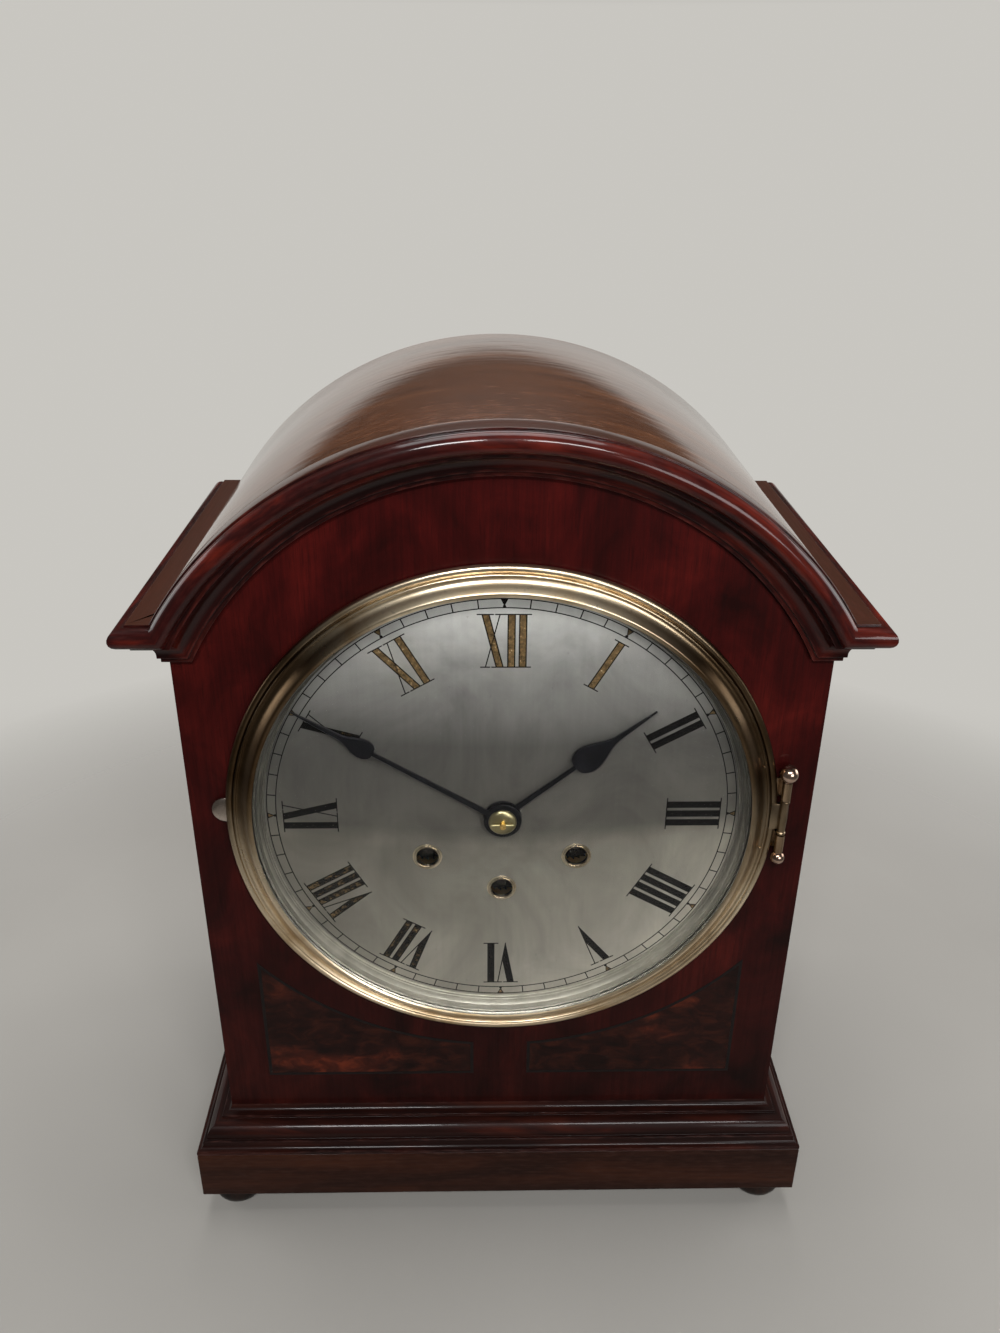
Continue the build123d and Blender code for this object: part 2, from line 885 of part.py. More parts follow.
# Dial ring: the spun brass pan screwed to the front board, with the seat of the dial and the hinge lugs
wall_outer = dial_opening_radius - joinery_gap
wall_inner = wall_outer - ring_wall
bezel_hinge_x = bezel_radius + bezel_knuckle_radius + bezel_hinge_offset
lug_rises = [
    bezel_hinge_rise + end * (bezel_knuckle_height + lug_knuckle_height) / 2 for end in (-1, 1)
]
bezel_hinge_y = board_y - bezel_hinge_forward
lug_height = lug_knuckle_height - knuckle_gap
with BuildPart() as dial_ring:
    with BuildSketch(section()):
        seat_end = -dial_set_back - dial_thickness
        with BuildLine():
            Polyline(
                (ring_flange_thickness, wall_inner),
                (ring_flange_thickness, ring_flange_radius),
                (0, ring_flange_radius),
                (0, wall_outer),
                (seat_end - ring_seat_thickness, wall_outer),
                (seat_end - ring_seat_thickness, dial_radius - ring_seat_width),
                (seat_end, dial_radius - ring_seat_width),
                (seat_end, wall_inner),
                close=True,
            )
        make_face()
    revolve(axis=front_axis())
    for rise in lug_rises:
        with Locations((ring_flange_radius - lug_root, board_y, dial_z + rise)):
            Box(
                bezel_hinge_x - ring_flange_radius + lug_root + lug_half_width,
                ring_flange_thickness,
                lug_height,
                align=(Align.MIN, Align.MAX, Align.CENTER),
            )
        with Locations((bezel_hinge_x, board_y, dial_z + rise)):
            Box(
                2 * lug_half_width,
                bezel_hinge_forward,
                lug_height,
                align=(Align.CENTER, Align.MAX, Align.CENTER),
            )
        with Locations((bezel_hinge_x, bezel_hinge_y, dial_z + rise)):
            Cylinder(bezel_knuckle_radius, lug_height)
            Cylinder(bezel_pin_radius + running_gap, 3 * lug_height, mode=Mode.SUBTRACT)
save(dial_ring, "dial_ring")

# Dial plate: the silvered disc, pierced for the hands and the three winding squares
hour_pipe_radius = cannon_radius + running_gap + hour_pipe_wall
winding_places = (going_at, strike_at[0], chime_at[0])
with BuildPart() as dial_plate:
    with BuildSketch(facing(dial_thickness)):
        Circle(dial_radius)
        Circle(hour_pipe_radius + 4 * end_shake, mode=Mode.SUBTRACT)
        with Locations(*winding_places):
            Circle(bush_outer_radius, mode=Mode.SUBTRACT)
    extrude(amount=dial_thickness)
save(dial_plate, "dial_plate")

# Winding bushes: brass eyelets round the three winding holes
with BuildPart() as winding_bushes:
    for place in winding_places:
        with BuildSketch(facing(dial_thickness)):
            with Locations(place):
                Circle(bush_outer_radius)
                Circle(bush_bore_radius, mode=Mode.SUBTRACT)
        extrude(amount=dial_thickness)
        with BuildSketch(facing(0)):
            with Locations(place):
                Circle(bush_flange_radius)
                Circle(bush_bore_radius, mode=Mode.SUBTRACT)
        extrude(amount=bush_flange_thickness)
save(winding_bushes, "winding_bushes")

# Slip ring: the sloping silvered ring that frames the dial
with BuildPart() as slip_ring:
    with BuildSketch(section(forward_of=0)):
        draw_outline(
            [
                (0, dial_radius - slip_ring_foot),
                (0, dial_radius),
                (slip_ring_height, dial_radius),
                (slip_ring_height, dial_radius - slip_ring_top),
            ]
        )
    revolve(axis=front_axis())
save(slip_ring, "slip_ring")

# Bezel: the cast brass ring that holds the glass and opens on the hinge at its right
bezel_back = ring_flange_thickness + bezel_gap
bead_top = bezel_back + bezel_edge_height + bezel_bead_radius
quirk_radius = bezel_radius - 2 * bezel_bead_radius
lip_back = bezel_crest_height - 2 * sight_lip
with BuildPart() as bezel_ring:
    with BuildSketch(section()):
        with BuildLine():
            edge = (bezel_back + bezel_edge_height, bezel_radius)
            quirk = (bead_top - bezel_quirk, quirk_radius)
            crest = (bezel_crest_height, bezel_crest_radius)
            sight = (bezel_crest_height - sight_lip, sight_radius)
            hollow = (
                (quirk[0] + crest[0]) / 2 - bezel_quirk,
                (quirk[1] + crest[1]) / 2 - bezel_quirk,
            )
            Polyline((bezel_back, glass_radius + glass_rim_gap), (bezel_back, bezel_radius), edge)
            ThreePointArc(edge, (bead_top, bezel_radius - bezel_bead_radius), quirk)
            ThreePointArc(quirk, hollow, crest)
            ThreePointArc(
                crest,
                (bezel_crest_height - sight_roll, (sight_radius + crest[1]) / 2 - sight_roll),
                sight,
            )
            Polyline(
                sight,
                (lip_back, sight_radius),
                (lip_back, glass_radius + glass_rim_gap),
                (bezel_back, glass_radius + glass_rim_gap),
            )
        make_face()
    revolve(axis=front_axis())
    with Locations((bezel_radius - web_root, bezel_hinge_y + web_set_back, dial_z + bezel_hinge_rise)):
        Box(
            bezel_hinge_x - bezel_radius + web_root,
            web_thickness,
            bezel_knuckle_height - 2 * knuckle_gap,
            align=(Align.MIN, Align.CENTER, Align.CENTER),
        )
    with Locations((bezel_hinge_x, bezel_hinge_y, dial_z + bezel_hinge_rise)):
        Cylinder(bezel_knuckle_radius, bezel_knuckle_height - 2 * knuckle_gap)
        Cylinder(bezel_pin_radius + running_gap, bezel_knuckle_height, mode=Mode.SUBTRACT)
save(bezel_ring, "bezel_ring")

# Hinge pin: a steel pin through the three knuckles, with a ball finial at each end
with BuildPart() as bezel_hinge_pin:
    pin_half = bezel_knuckle_height / 2 + lug_knuckle_height
    with Locations((bezel_hinge_x, bezel_hinge_y, dial_z + bezel_hinge_rise)):
        Cylinder(bezel_pin_radius, 2 * pin_half + upper_ball_radius)
    for end, ball in ((1, upper_ball_radius), (-1, lower_ball_radius)):
        ball_rise = bezel_hinge_rise + end * (pin_half + ball - knuckle_gap / 4)
        with Locations((bezel_hinge_x, bezel_hinge_y, dial_z + ball_rise)):
            Sphere(ball)
    with Locations((bezel_hinge_x, bezel_hinge_y, dial_z + bezel_hinge_rise)):
        for end in (-1, 1):
            with Locations((0, 0, end * (pin_half + knuckle_gap / 2))):
                Cylinder(finial_neck_radius, knuckle_gap)
save(bezel_hinge_pin, "bezel_hinge_pin")

# Glass: a convex glass with a flat rim, behind the lip of the bezel
glass_front = lip_back - glass_seat_gap
glass_sphere = (glass_radius**2 + glass_sagitta**2) / (2 * glass_sagitta)


def glass_arc(rim, radius):
    """Half of a dome's section, from its rim to its top."""
    turn = math.asin(radius / glass_sphere) / 2
    sag = glass_sphere - math.sqrt(glass_sphere**2 - radius**2)
    middle = glass_sphere * (math.cos(turn) - 1) + sag
    ThreePointArc((rim, radius), (rim + middle, glass_sphere * math.sin(turn)), (rim + sag, 0))


with BuildPart() as bezel_glass:
    with BuildSketch(section()):
        with BuildLine():
            glass_arc(glass_front, glass_radius)
            glass_arc(glass_front - glass_thickness, glass_radius)
            Line((glass_front, glass_radius), (glass_front - glass_thickness, glass_radius))
            sagitta = glass_sphere - math.sqrt(glass_sphere**2 - glass_radius**2)
            Line((glass_front + sagitta, 0), (glass_front - glass_thickness + sagitta, 0))
        make_face()
    revolve(axis=front_axis())
save(bezel_glass, "bezel_glass")

# Tab: the finger piece at the left of the bezel
with BuildPart() as bezel_tab:
    with BuildSketch(facing(board_depth - bezel_back)):
        with Locations((-bezel_radius, tab_rise)):
            Circle(tab_radius)
        Circle(bezel_radius, mode=Mode.SUBTRACT)
    extrude(amount=tab_thickness)
save(bezel_tab, "bezel_tab")


# Hands: blued steel pear hands, each drawn upright and then turned to its time
def draw_hand(length, bulb_at, bulb_width, bore):
    """A round hub, a tapering stem, a pear bulb and a long point."""
    bulb = bulb_width / 2
    start = (hand_neck_half, bulb_at - bulb)
    heel = (bulb * bulb_heel, bulb_at - bulb / 2)
    shoulder = (hand_shoulder_half, bulb_at + bulb_length * bulb)
    slope = (hand_point_half - hand_shoulder_half, length - shoulder[1])
    with BuildLine() as outline:
        Polyline((0, 0), (hand_stem_half, 0), start)
        ThreePointArc(start, heel, (bulb, bulb_at))
        Spline((bulb, bulb_at), shoulder, tangents=((0, 1), slope))
        Polyline(shoulder, (hand_point_half, length), (0, length), (0, 0))
    make_face(outline.edges())
    mirror(about=Plane.YZ)
    Circle(hand_hub_radius)
    Circle(bore, mode=Mode.SUBTRACT)


def hand_plane(height, angle):
    """The plane of a hand's back, turned clockwise from twelve o'clock."""
    turn = math.radians(angle)
    across = (math.cos(turn), 0, -math.sin(turn))
    return Plane(origin=(0, dial_y - height, dial_z), x_dir=across, z_dir=(0, -1, 0))


with BuildPart() as hour_hand:
    with BuildSketch(hand_plane(hour_hand_height, hour_angle)):
        draw_hand(hour_hand_length, hour_bulb_at, hour_bulb_width, hour_pipe_radius)
    extrude(amount=hand_thickness)
save(hour_hand, "hour_hand")

with BuildPart() as minute_hand:
    with BuildSketch(hand_plane(minute_hand_height, minute_angle)):
        draw_hand(minute_hand_length, minute_bulb_at, minute_bulb_width, cannon_radius)
    extrude(amount=hand_thickness)
save(minute_hand, "minute_hand")

# Collet: the domed brass washer in front of the minute hand, and the taper pin that holds it
collet_back = minute_hand_height + hand_thickness
collet_top = collet_back + collet_height
pin_height = collet_top + hand_pin_radius + hand_pin_gap
collet_bore = centre_arbor_front_radius + running_gap
with BuildPart() as hand_collet:
    with BuildSketch(section(forward_of=0)):
        with BuildLine():
            Polyline(
                (collet_top, collet_bore + collet_land),
                (collet_top, collet_bore),
                (collet_back, collet_bore),
                (collet_back, collet_radius),
            )
            ThreePointArc(
                (collet_back, collet_radius),
                (collet_back + collet_swell * collet_height, collet_radius * collet_shoulder),
                (collet_top, collet_bore + collet_land),
            )
        make_face()
    revolve(axis=front_axis())
save(hand_collet, "hand_collet")

with BuildPart() as hand_pin:
    with Locations((0, dial_y - pin_height, dial_z)):
        Cylinder(hand_pin_radius, hand_pin_length, rotation=(0, 90, 0))
save(hand_pin, "hand_pin")

# Motion work: cannon pinion on the centre arbor, minute wheel on its stud, hour wheel on the cannon
minute_bearing = bearing(centre_at, minute_wheel_at)
cannon_back = cannon_depth + cannon_face
minute_pinion_front = hour_wheel_depth - minute_pinion_lead
with BuildPart() as cannon_pinion:
    add_wheel(
        centre_at, cannon_teeth, minute_module, minute_bearing, cannon_depth, cannon_face, crossed=False
    )
    add_disc(centre_at, cannon_radius, -minute_hand_height - hand_thickness, cannon_depth)
    add_disc(
        centre_at, cannon_bore, -minute_hand_height - hand_thickness, cannon_back, Mode.SUBTRACT
    )
save(cannon_pinion, "cannon_pinion")

with BuildPart() as minute_wheel:
    add_wheel(
        minute_wheel_at,
        minute_wheel_teeth,
        minute_module,
        gap_at(minute_wheel_teeth, minute_bearing + 180),
        cannon_depth,
        cannon_face,
        hub=minute_wheel_hub_radius,
    )
    add_wheel(
        minute_wheel_at,
        minute_pinion,
        hour_module,
        minute_bearing + 180,
        minute_pinion_front,
        cannon_depth - minute_pinion_front,
        crossed=False,
    )
    add_disc(minute_wheel_at, minute_stud_radius + running_gap, 0, front_plate_depth, Mode.SUBTRACT)
save(minute_wheel, "minute_wheel")

with BuildPart() as hour_wheel:
    add_wheel(
        centre_at,
        hour_wheel_teeth,
        hour_module,
        gap_at(hour_wheel_teeth, minute_bearing),
        hour_wheel_depth,
        wheel_thickness,
        hub=hour_wheel_hub_radius,
    )
    add_disc(centre_at, hour_pipe_radius, -hour_hand_height - hand_thickness, hour_wheel_depth)
    add_disc(
        centre_at,
        cannon_radius + running_gap,
        -hour_hand_height - hand_thickness,
        hour_wheel_depth + wheel_thickness,
        Mode.SUBTRACT,
    )
save(hour_wheel, "hour_wheel")

# Plates: two brass plates, pierced for the pivots, with a stud for the minute wheel on the front one
pillar_places = [
    (x, z)
    for x in (pillar_inset - plate_half_width, plate_half_width - pillar_inset)
    for z in (pillar_inset - plate_bottom_drop, plate_top_rise - pillar_inset)
]
small_pivots = [
    intermediate_at,
    third_at,
    escape_at,
    *strike_at[1:],
    *chime_at[1:],
]


def draw_plate():
    """A plate's outline with its pivot, barrel and screw holes."""
    with Locations((0, (plate_top_rise - plate_bottom_drop) / 2)):
        RectangleRounded(2 * plate_half_width, plate_top_rise + plate_bottom_drop, plate_corner_radius)
    with Locations(*small_pivots):
        Circle(pivot_radius + running_gap, mode=Mode.SUBTRACT)
    with Locations(*winding_places):
        Circle(barrel_arbor_radius + running_gap, mode=Mode.SUBTRACT)
    with Locations(*pillar_places):
        Circle(screw_radius + end_shake, mode=Mode.SUBTRACT)


stud_head_back = hour_wheel_depth - minute_stud_lead
with BuildPart() as front_plate:
    with BuildSketch(facing(plates_front)):
        draw_plate()
        with Locations(centre_at):
            Circle(centre_arbor_front_radius + running_gap, mode=Mode.SUBTRACT)
        with Locations(pallet_at):
            Circle(pivot_radius + running_gap, mode=Mode.SUBTRACT)
    extrude(amount=plate_thickness)
    add_disc(minute_wheel_at, minute_stud_radius, stud_head_back, front_plate_depth)
    add_disc(minute_wheel_at, minute_stud_head_radius, stud_head_back - minute_stud_head, stud_head_back)
    add_disc(minute_wheel_at, minute_stud_collar_radius, cannon_back + end_shake, front_plate_depth)
save(front_plate, "front_plate")

hammer_at = (hammer_stud_x, -hammer_stud_drop)
gong_depths = [gong_first_depth + rod * gong_pitch for rod in range(len(gong_rod_lengths))]
hub_half = gong_pitch / 2 - end_shake
back_face = back_plate_depth + plate_thickness
with BuildPart() as back_plate:
    with BuildSketch(facing(back_face)):
        draw_plate()
        with Locations(centre_at):
            Circle(pivot_radius + running_gap, mode=Mode.SUBTRACT)
        with Locations(pallet_at):
            Circle(arbor_radius + running_gap, mode=Mode.SUBTRACT)
    extrude(amount=plate_thickness)
    add_disc(hammer_at, hammer_stud_radius, back_face, gong_depths[-1] + hub_half + 2 * end_shake)
    add_disc(hammer_at, hammer_hub_radius, back_face, gong_depths[0] - hub_half - end_shake)
    add_disc(
        hammer_at,
        hammer_hub_radius,
        gong_depths[-1] + hub_half + end_shake,
        gong_depths[-1] + hub_half + hammer_stud_head,
    )
save(back_plate, "back_plate")

# Pillars: four turned pillars that hold the plates apart
with BuildPart() as plate_pillars:
    for place in pillar_places:
        add_disc(place, pillar_radius, plates_front, back_plate_depth)
        for end in (plates_front, back_plate_depth - pillar_collar_length):
            add_disc(place, pillar_radius + pillar_collar, end, end + pillar_collar_length)
        for end in (plates_front, back_plate_depth - screw_length):
            add_disc(place, screw_radius + joinery_gap, end, end + screw_length, Mode.SUBTRACT)
save(plate_pillars, "plate_pillars")

# Movement screws: one steel screw at each end of each pillar
with BuildPart() as movement_screws:
    for place in pillar_places:
        add_disc(place, screw_head_radius, front_plate_depth - screw_head_height, front_plate_depth)
        add_disc(place, screw_radius, front_plate_depth, front_plate_depth + screw_length)
        add_disc(place, screw_head_radius, back_face, back_face + screw_head_height)
        add_disc(place, screw_radius, back_face - screw_length, back_face)
save(movement_screws, "movement_screws")


# Barrels: a drum with its great wheel, and inside it the winding arbor with its square and ratchet
def build_barrel(at, tooth_at, wheel_front, name):
    """A mainspring barrel that turns on its arbor, with the great wheel at one end."""
    barrel_back = barrel_front + barrel_length
    with BuildPart() as barrel:
        add_disc(at, barrel_radius, barrel_front, barrel_back)
        add_disc(
            at,
            barrel_radius - barrel_wall,
            barrel_front + barrel_wall,
            barrel_back - barrel_wall,
            Mode.SUBTRACT,
        )
        add_wheel(
            at, great_teeth, train_module, tooth_at, wheel_front, great_wheel_thickness, crossed=False
        )
        add_disc(
            at,
            barrel_arbor_radius + running_gap,
            barrel_front - great_wheel_thickness,
            barrel_back + great_wheel_thickness,
            Mode.SUBTRACT,
        )
    save(barrel, name)


def build_arbor(at, name):
    """A winding arbor: square, ratchet wheel, body in the plates and core for the mainspring."""
    inner_front = barrel_front + barrel_wall + end_shake
    inner_back = barrel_front + barrel_length - barrel_wall - end_shake
    step = 360 / ratchet_teeth
    with BuildPart() as arbor:
        add_disc(at, barrel_arbor_radius, ratchet_front + ratchet_thickness, back_face - end_shake)
        add_disc(at, barrel_core_radius, inner_front, inner_back)
        with BuildSketch(facing(ratchet_front + ratchet_thickness)):
            corners = []
            for tooth in range(ratchet_teeth):
                corners.append(polar(at, ratchet_radius, tooth * step))
                corners.append(polar(at, ratchet_radius * ratchet_root, (tooth + ratchet_back) * step))
            draw_outline(corners)
        extrude(amount=ratchet_thickness)
        with BuildSketch(facing(ratchet_front)):
            with Locations(at):
                Rectangle(winding_square, winding_square)
        extrude(amount=ratchet_front - square_set_back)
    save(arbor, name)


great_front = barrel_front - great_wheel_thickness
great_back = barrel_front + barrel_length
build_barrel(going_at, bearing(going_at, intermediate_at), great_front, "going_barrel")
build_arbor(going_at, "going_arbor")

# Going train: intermediate, centre, third and escape wheels
behind_barrels = great_back + great_wheel_thickness + behind_barrel_gap
intermediate_bearing = bearing(intermediate_at, centre_at)
with BuildPart() as intermediate_wheel:
    add_arbor(intermediate_at)
    add_wheel(
        intermediate_at,
        intermediate_teeth,
        train_module,
        intermediate_bearing,
        behind_barrels,
        wheel_thickness,
    )
    add_wheel(
        intermediate_at,
        great_pinion,
        train_module,
        gap_at(great_pinion, bearing(intermediate_at, going_at)),
        great_front - short_lead,
        pinion_face,
        crossed=False,
    )
save(intermediate_wheel, "intermediate_wheel")

arbor_tip = -pin_height - hand_pin_radius - centre_arbor_end
third_bearing = bearing(centre_at, third_at)
with BuildPart() as centre_wheel:
    add_disc(centre_at, centre_arbor_front_radius, arbor_tip, back_plate_depth - end_shake)
    add_disc(centre_at, pivot_radius, back_plate_depth - end_shake, back_face - end_shake)
    add_disc(
        centre_at, centre_arbor_front_radius + centre_collar, plates_front + end_shake, centre_wheel_front
    )
    add_wheel(centre_at, centre_teeth, fine_module, third_bearing, centre_wheel_front, wheel_thickness)
    add_wheel(
        centre_at,
        centre_pinion,
        train_module,
        gap_at(centre_pinion, intermediate_bearing + 180),
        behind_barrels - pinion_lead,
        pinion_face,
        crossed=False,
    )
    with Locations((0, dial_y - pin_height, dial_z)):
        Cylinder(
            hand_pin_radius + running_gap,
            4 * centre_arbor_front_radius,
            rotation=(0, 90, 0),
            mode=Mode.SUBTRACT,
        )
save(centre_wheel, "centre_wheel")

escape_bearing = bearing(third_at, escape_at)
with BuildPart() as third_wheel:
    add_arbor(third_at)
    add_wheel(third_at, third_teeth, fine_module, escape_bearing, third_wheel_front, wheel_thickness)
    add_wheel(
        third_at,
        third_pinion,
        fine_module,
        gap_at(third_pinion, third_bearing + 180),
        centre_wheel_front - pinion_lead,
        pinion_face,
        crossed=False,
    )
save(third_wheel, "third_wheel")

escape_step = 360 / escape_teeth
escape_root_radius = escape_radius * escape_root
with BuildPart() as escape_wheel:
    add_arbor(escape_at)
    add_wheel(
        escape_at,
        escape_pinion,
        fine_module,
        gap_at(escape_pinion, escape_bearing + 180),
        third_wheel_front - pinion_lead,
        pinion_face,
        crossed=False,
    )
    with BuildSketch(facing(escape_front + wheel_thickness)):
        corners = []
        for tooth in range(escape_teeth):
            corners.append(polar(escape_at, escape_radius, tooth * escape_step))
            corners.append(polar(escape_at, escape_root_radius, (tooth + escape_back) * escape_step))
            corners.append(polar(escape_at, escape_root_radius, (tooth + escape_gullet) * escape_step))
        draw_outline(corners)
        cut_spokes(escape_at, escape_root_radius - escape_rim, escape_hub_radius)
    extrude(amount=wheel_thickness)
save(escape_wheel, "escape_wheel")

# Pallets: the anchor over the escape wheel, on the arbor that carries the crutch behind the back plate
nib_radius = escape_radius + pallet_clearance
crutch_front = back_face + crutch_gap
crutch_back = crutch_front + crutch_thickness
crutch_end = pallet_at[1] - crutch_length
with BuildPart() as pallets:
    add_disc(pallet_at, pivot_radius, front_plate_depth + end_shake, plates_front + pallet_pivot_root)
    add_disc(pallet_at, arbor_radius, plates_front + end_shake, crutch_back)
    with BuildSketch(facing(escape_front + wheel_thickness)):
        with BuildLine():
            left = polar(escape_at, nib_radius, 90 + pallet_span)
            right = polar(escape_at, nib_radius, 90 - pallet_span)
            left_out = polar(escape_at, nib_radius + pallet_nib, 90 + pallet_span + pallet_flare)
            right_out = polar(escape_at, nib_radius + pallet_nib, 90 - pallet_span - pallet_flare)
            crown = (pallet_at[0], pallet_at[1] + pallet_thickness)
            Line(left, left_out)
            ThreePointArc(left_out, crown, right_out)
            Line(right_out, right)
            ThreePointArc(right, polar(escape_at, nib_radius, 90), left)
        make_face()
    extrude(amount=pallet_thickness)
    with BuildSketch(facing(crutch_back)):
        with Locations(pallet_at):
            Circle(crutch_hub_radius)
            Rectangle(crutch_width, crutch_length, align=(Align.CENTER, Align.MAX))
    extrude(amount=crutch_thickness)
    fork_length = pendulum_depth + rod_radius + fork_reach - crutch_front
    for side in (-1, 1):
        with Locations((side * (rod_radius + fork_gap), dial_y + crutch_front, dial_z + crutch_end)):
            Box(
                fork_thickness,
                fork_length,
                crutch_width,
                align=(Align.MIN if side > 0 else Align.MAX, Align.MIN, Align.MIN),
            )
    with Locations((0, dial_y + crutch_front, dial_z + crutch_end)):
        Box(
            2 * (rod_radius + fork_gap + fork_thickness),
            crutch_thickness,
            crutch_width,
            align=(Align.CENTER, Align.MIN, Align.MIN),
        )
save(pallets, "pallets")


# Striking trains: barrel, winding arbor, second wheel, pin wheel and fly, alike on both sides
second_front = plates_front + second_wheel_gap


def build_striking(places, train):
    """The five pieces of one striking train."""
    barrel, second, pins, fly = places
    build_barrel(barrel, bearing(barrel, second), great_back, f"{train}_barrel")
    build_arbor(barrel, f"{train}_arbor")
    with BuildPart() as second_wheel:
        add_arbor(second)
        add_wheel(second, second_teeth, strike_module, bearing(second, pins), second_front, wheel_thickness)
        add_wheel(
            second,
            great_pinion,
            train_module,
            gap_at(great_pinion, bearing(second, barrel)),
            great_back - short_lead,
            pinion_face,
            crossed=False,
        )
    save(second_wheel, f"{train}_second_wheel")
    with BuildPart() as pin_wheel:
        add_arbor(pins)
        add_wheel(
            pins, pin_wheel_teeth, strike_module, bearing(pins, fly), pin_wheel_front, wheel_thickness
        )
        add_wheel(
            pins,
            pin_wheel_pinion,
            strike_module,
            gap_at(pin_wheel_pinion, bearing(pins, second)),
            second_front - short_lead,
            pinion_face,
            crossed=False,
        )
        rim = strike_module * (pin_wheel_teeth / 2 - dedendum) - strike_pin_inset
        for pin in range(strike_pin_count):
            add_disc(
                polar(pins, rim, pin * 360 / strike_pin_count),
                strike_pin_radius,
                pin_wheel_front,
                pin_wheel_front + wheel_thickness + strike_pin_length,
            )
    save(pin_wheel, f"{train}_pin_wheel")
    with BuildPart() as fly_vane:
        add_arbor(fly)
        add_wheel(
            fly,
            fly_pinion,
            strike_module,
            gap_at(fly_pinion, bearing(fly, pins)),
            pin_wheel_front - pinion_lead,
            pinion_face,
            crossed=False,
        )
        with BuildSketch(facing(back_plate_depth - fly_back_gap)):
            with Locations(fly):
                Rectangle(2 * fly_half_width, fly_thickness, rotation=fly_turn)
                Circle(arbor_radius + fly_hub_wall)
        extrude(amount=fly_length)
    save(fly_vane, f"{train}_fly")


build_striking(strike_at, "strike")
build_striking(chime_at, "chime")

# Pendulum cock: the brass bracket on the back plate, slit for the suspension spring
cock_bottom = pallet_at[1] + crutch_hub_radius + end_shake
with BuildPart() as pendulum_cock:
    cock_reach = pendulum_depth + spring_width / 2 + cock_lead - back_face
    with Locations((0, dial_y + back_face, dial_z + cock_bottom)):
        Box(cock_width, cock_reach, cock_height, align=(Align.CENTER, Align.MIN, Align.MIN))
    with Locations((0, dial_y + pendulum_depth - spring_width / 2 - cock_slit_gap, dial_z + cock_bottom)):
        Box(
            cock_slit,
            cock_reach,
            3 * cock_height,
            align=(Align.CENTER, Align.MIN, Align.CENTER),
            mode=Mode.SUBTRACT,
        )
save(pendulum_cock, "pendulum_cock")

# Suspension spring: the thin strip that the pendulum hangs and swings on
rod_top = pallet_at[1] - spring_reach
pendulum_y = dial_y + pendulum_depth
with BuildPart() as suspension_spring:
    with Locations((0, pendulum_y, dial_z + rod_top)):
        Box(
            spring_thickness,
            spring_width,
            cock_bottom + cock_height - rod_top - spring_head,
            align=(Align.CENTER, Align.CENTER, Align.MIN),
        )
save(suspension_spring, "suspension_spring")

# Pendulum rod: steel, clipped to the spring above and threaded for the rating nut below
bob_rise = pallet_at[1] - pendulum_length
nut_top = bob_rise - bob_radius
rod_end = nut_top - rating_nut_height - rod_end_length
with BuildPart() as pendulum_rod:
    with Locations((0, pendulum_y, dial_z + rod_top)):
        Cylinder(rod_radius, rod_top - nut_top, align=(Align.CENTER, Align.CENTER, Align.MAX))
    with Locations((0, pendulum_y, dial_z + nut_top)):
        Cylinder(rod_thread_radius, nut_top - rod_end, align=(Align.CENTER, Align.CENTER, Align.MAX))
save(pendulum_rod, "pendulum_rod")

# Bob: a lens of brass, bored for the rod, which rests on the rating nut
lens_radius = (bob_radius**2 + (bob_thickness / 2) ** 2) / bob_thickness
with BuildPart() as pendulum_bob:
    with BuildSketch(section(bob_rise, pendulum_depth)):
        with BuildLine():
            Line((0, 0), (0, bob_radius))
            ThreePointArc(
                (0, bob_radius),
                (
                    bob_thickness / 2 - lens_radius + math.sqrt(lens_radius**2 - bob_radius**2 / 4),
                    bob_radius / 2,
                ),
                (bob_thickness / 2, 0),
            )
            Line((bob_thickness / 2, 0), (0, 0))
        make_face()
        mirror(about=Plane.YZ)
    revolve(axis=Axis((0, pendulum_y, dial_z + bob_rise), (0, 1, 0)))
    with Locations((0, pendulum_y, dial_z + bob_rise)):
        Cylinder(rod_radius + running_gap, 3 * bob_radius, mode=Mode.SUBTRACT)
save(pendulum_bob, "pendulum_bob")

# Rating nut: the knurled nut under the bob that sets the rate
with BuildPart() as rating_nut:
    with Locations((0, pendulum_y, dial_z + nut_top - end_shake)):
        Cylinder(rating_nut_radius, rating_nut_height, align=(Align.CENTER, Align.CENTER, Align.MAX))
        Cylinder(
            rod_thread_radius + running_gap,
            3 * rating_nut_height,
            mode=Mode.SUBTRACT,
        )
save(rating_nut, "rating_nut")

# Gong block: cast iron, screwed to the right side of the case
block_reach = gong_depths[-1] - gong_depths[0] + gong_block_size
with BuildPart() as gong_block:
    with Locations((inner_half, dial_y + (gong_depths[0] + gong_depths[-1]) / 2, dial_z - gong_drop)):
        Box(
            gong_block_size,
            block_reach,
            gong_block_size,
            align=(Align.MAX, Align.CENTER, Align.CENTER),
        )
save(gong_block, "gong_block")

# Gong rods: three steel rods of stepped length, held in the block
rod_start = inner_half - gong_block_size
with BuildPart() as gong_rods:
    for depth, length in zip(gong_depths, gong_rod_lengths):
        with Locations((rod_start, dial_y + depth, dial_z - gong_drop)):
            Cylinder(
                gong_rod_radius, length, rotation=(0, 90, 0), align=(Align.CENTER, Align.CENTER, Align.MAX)
            )
save(gong_rods, "gong_rods")

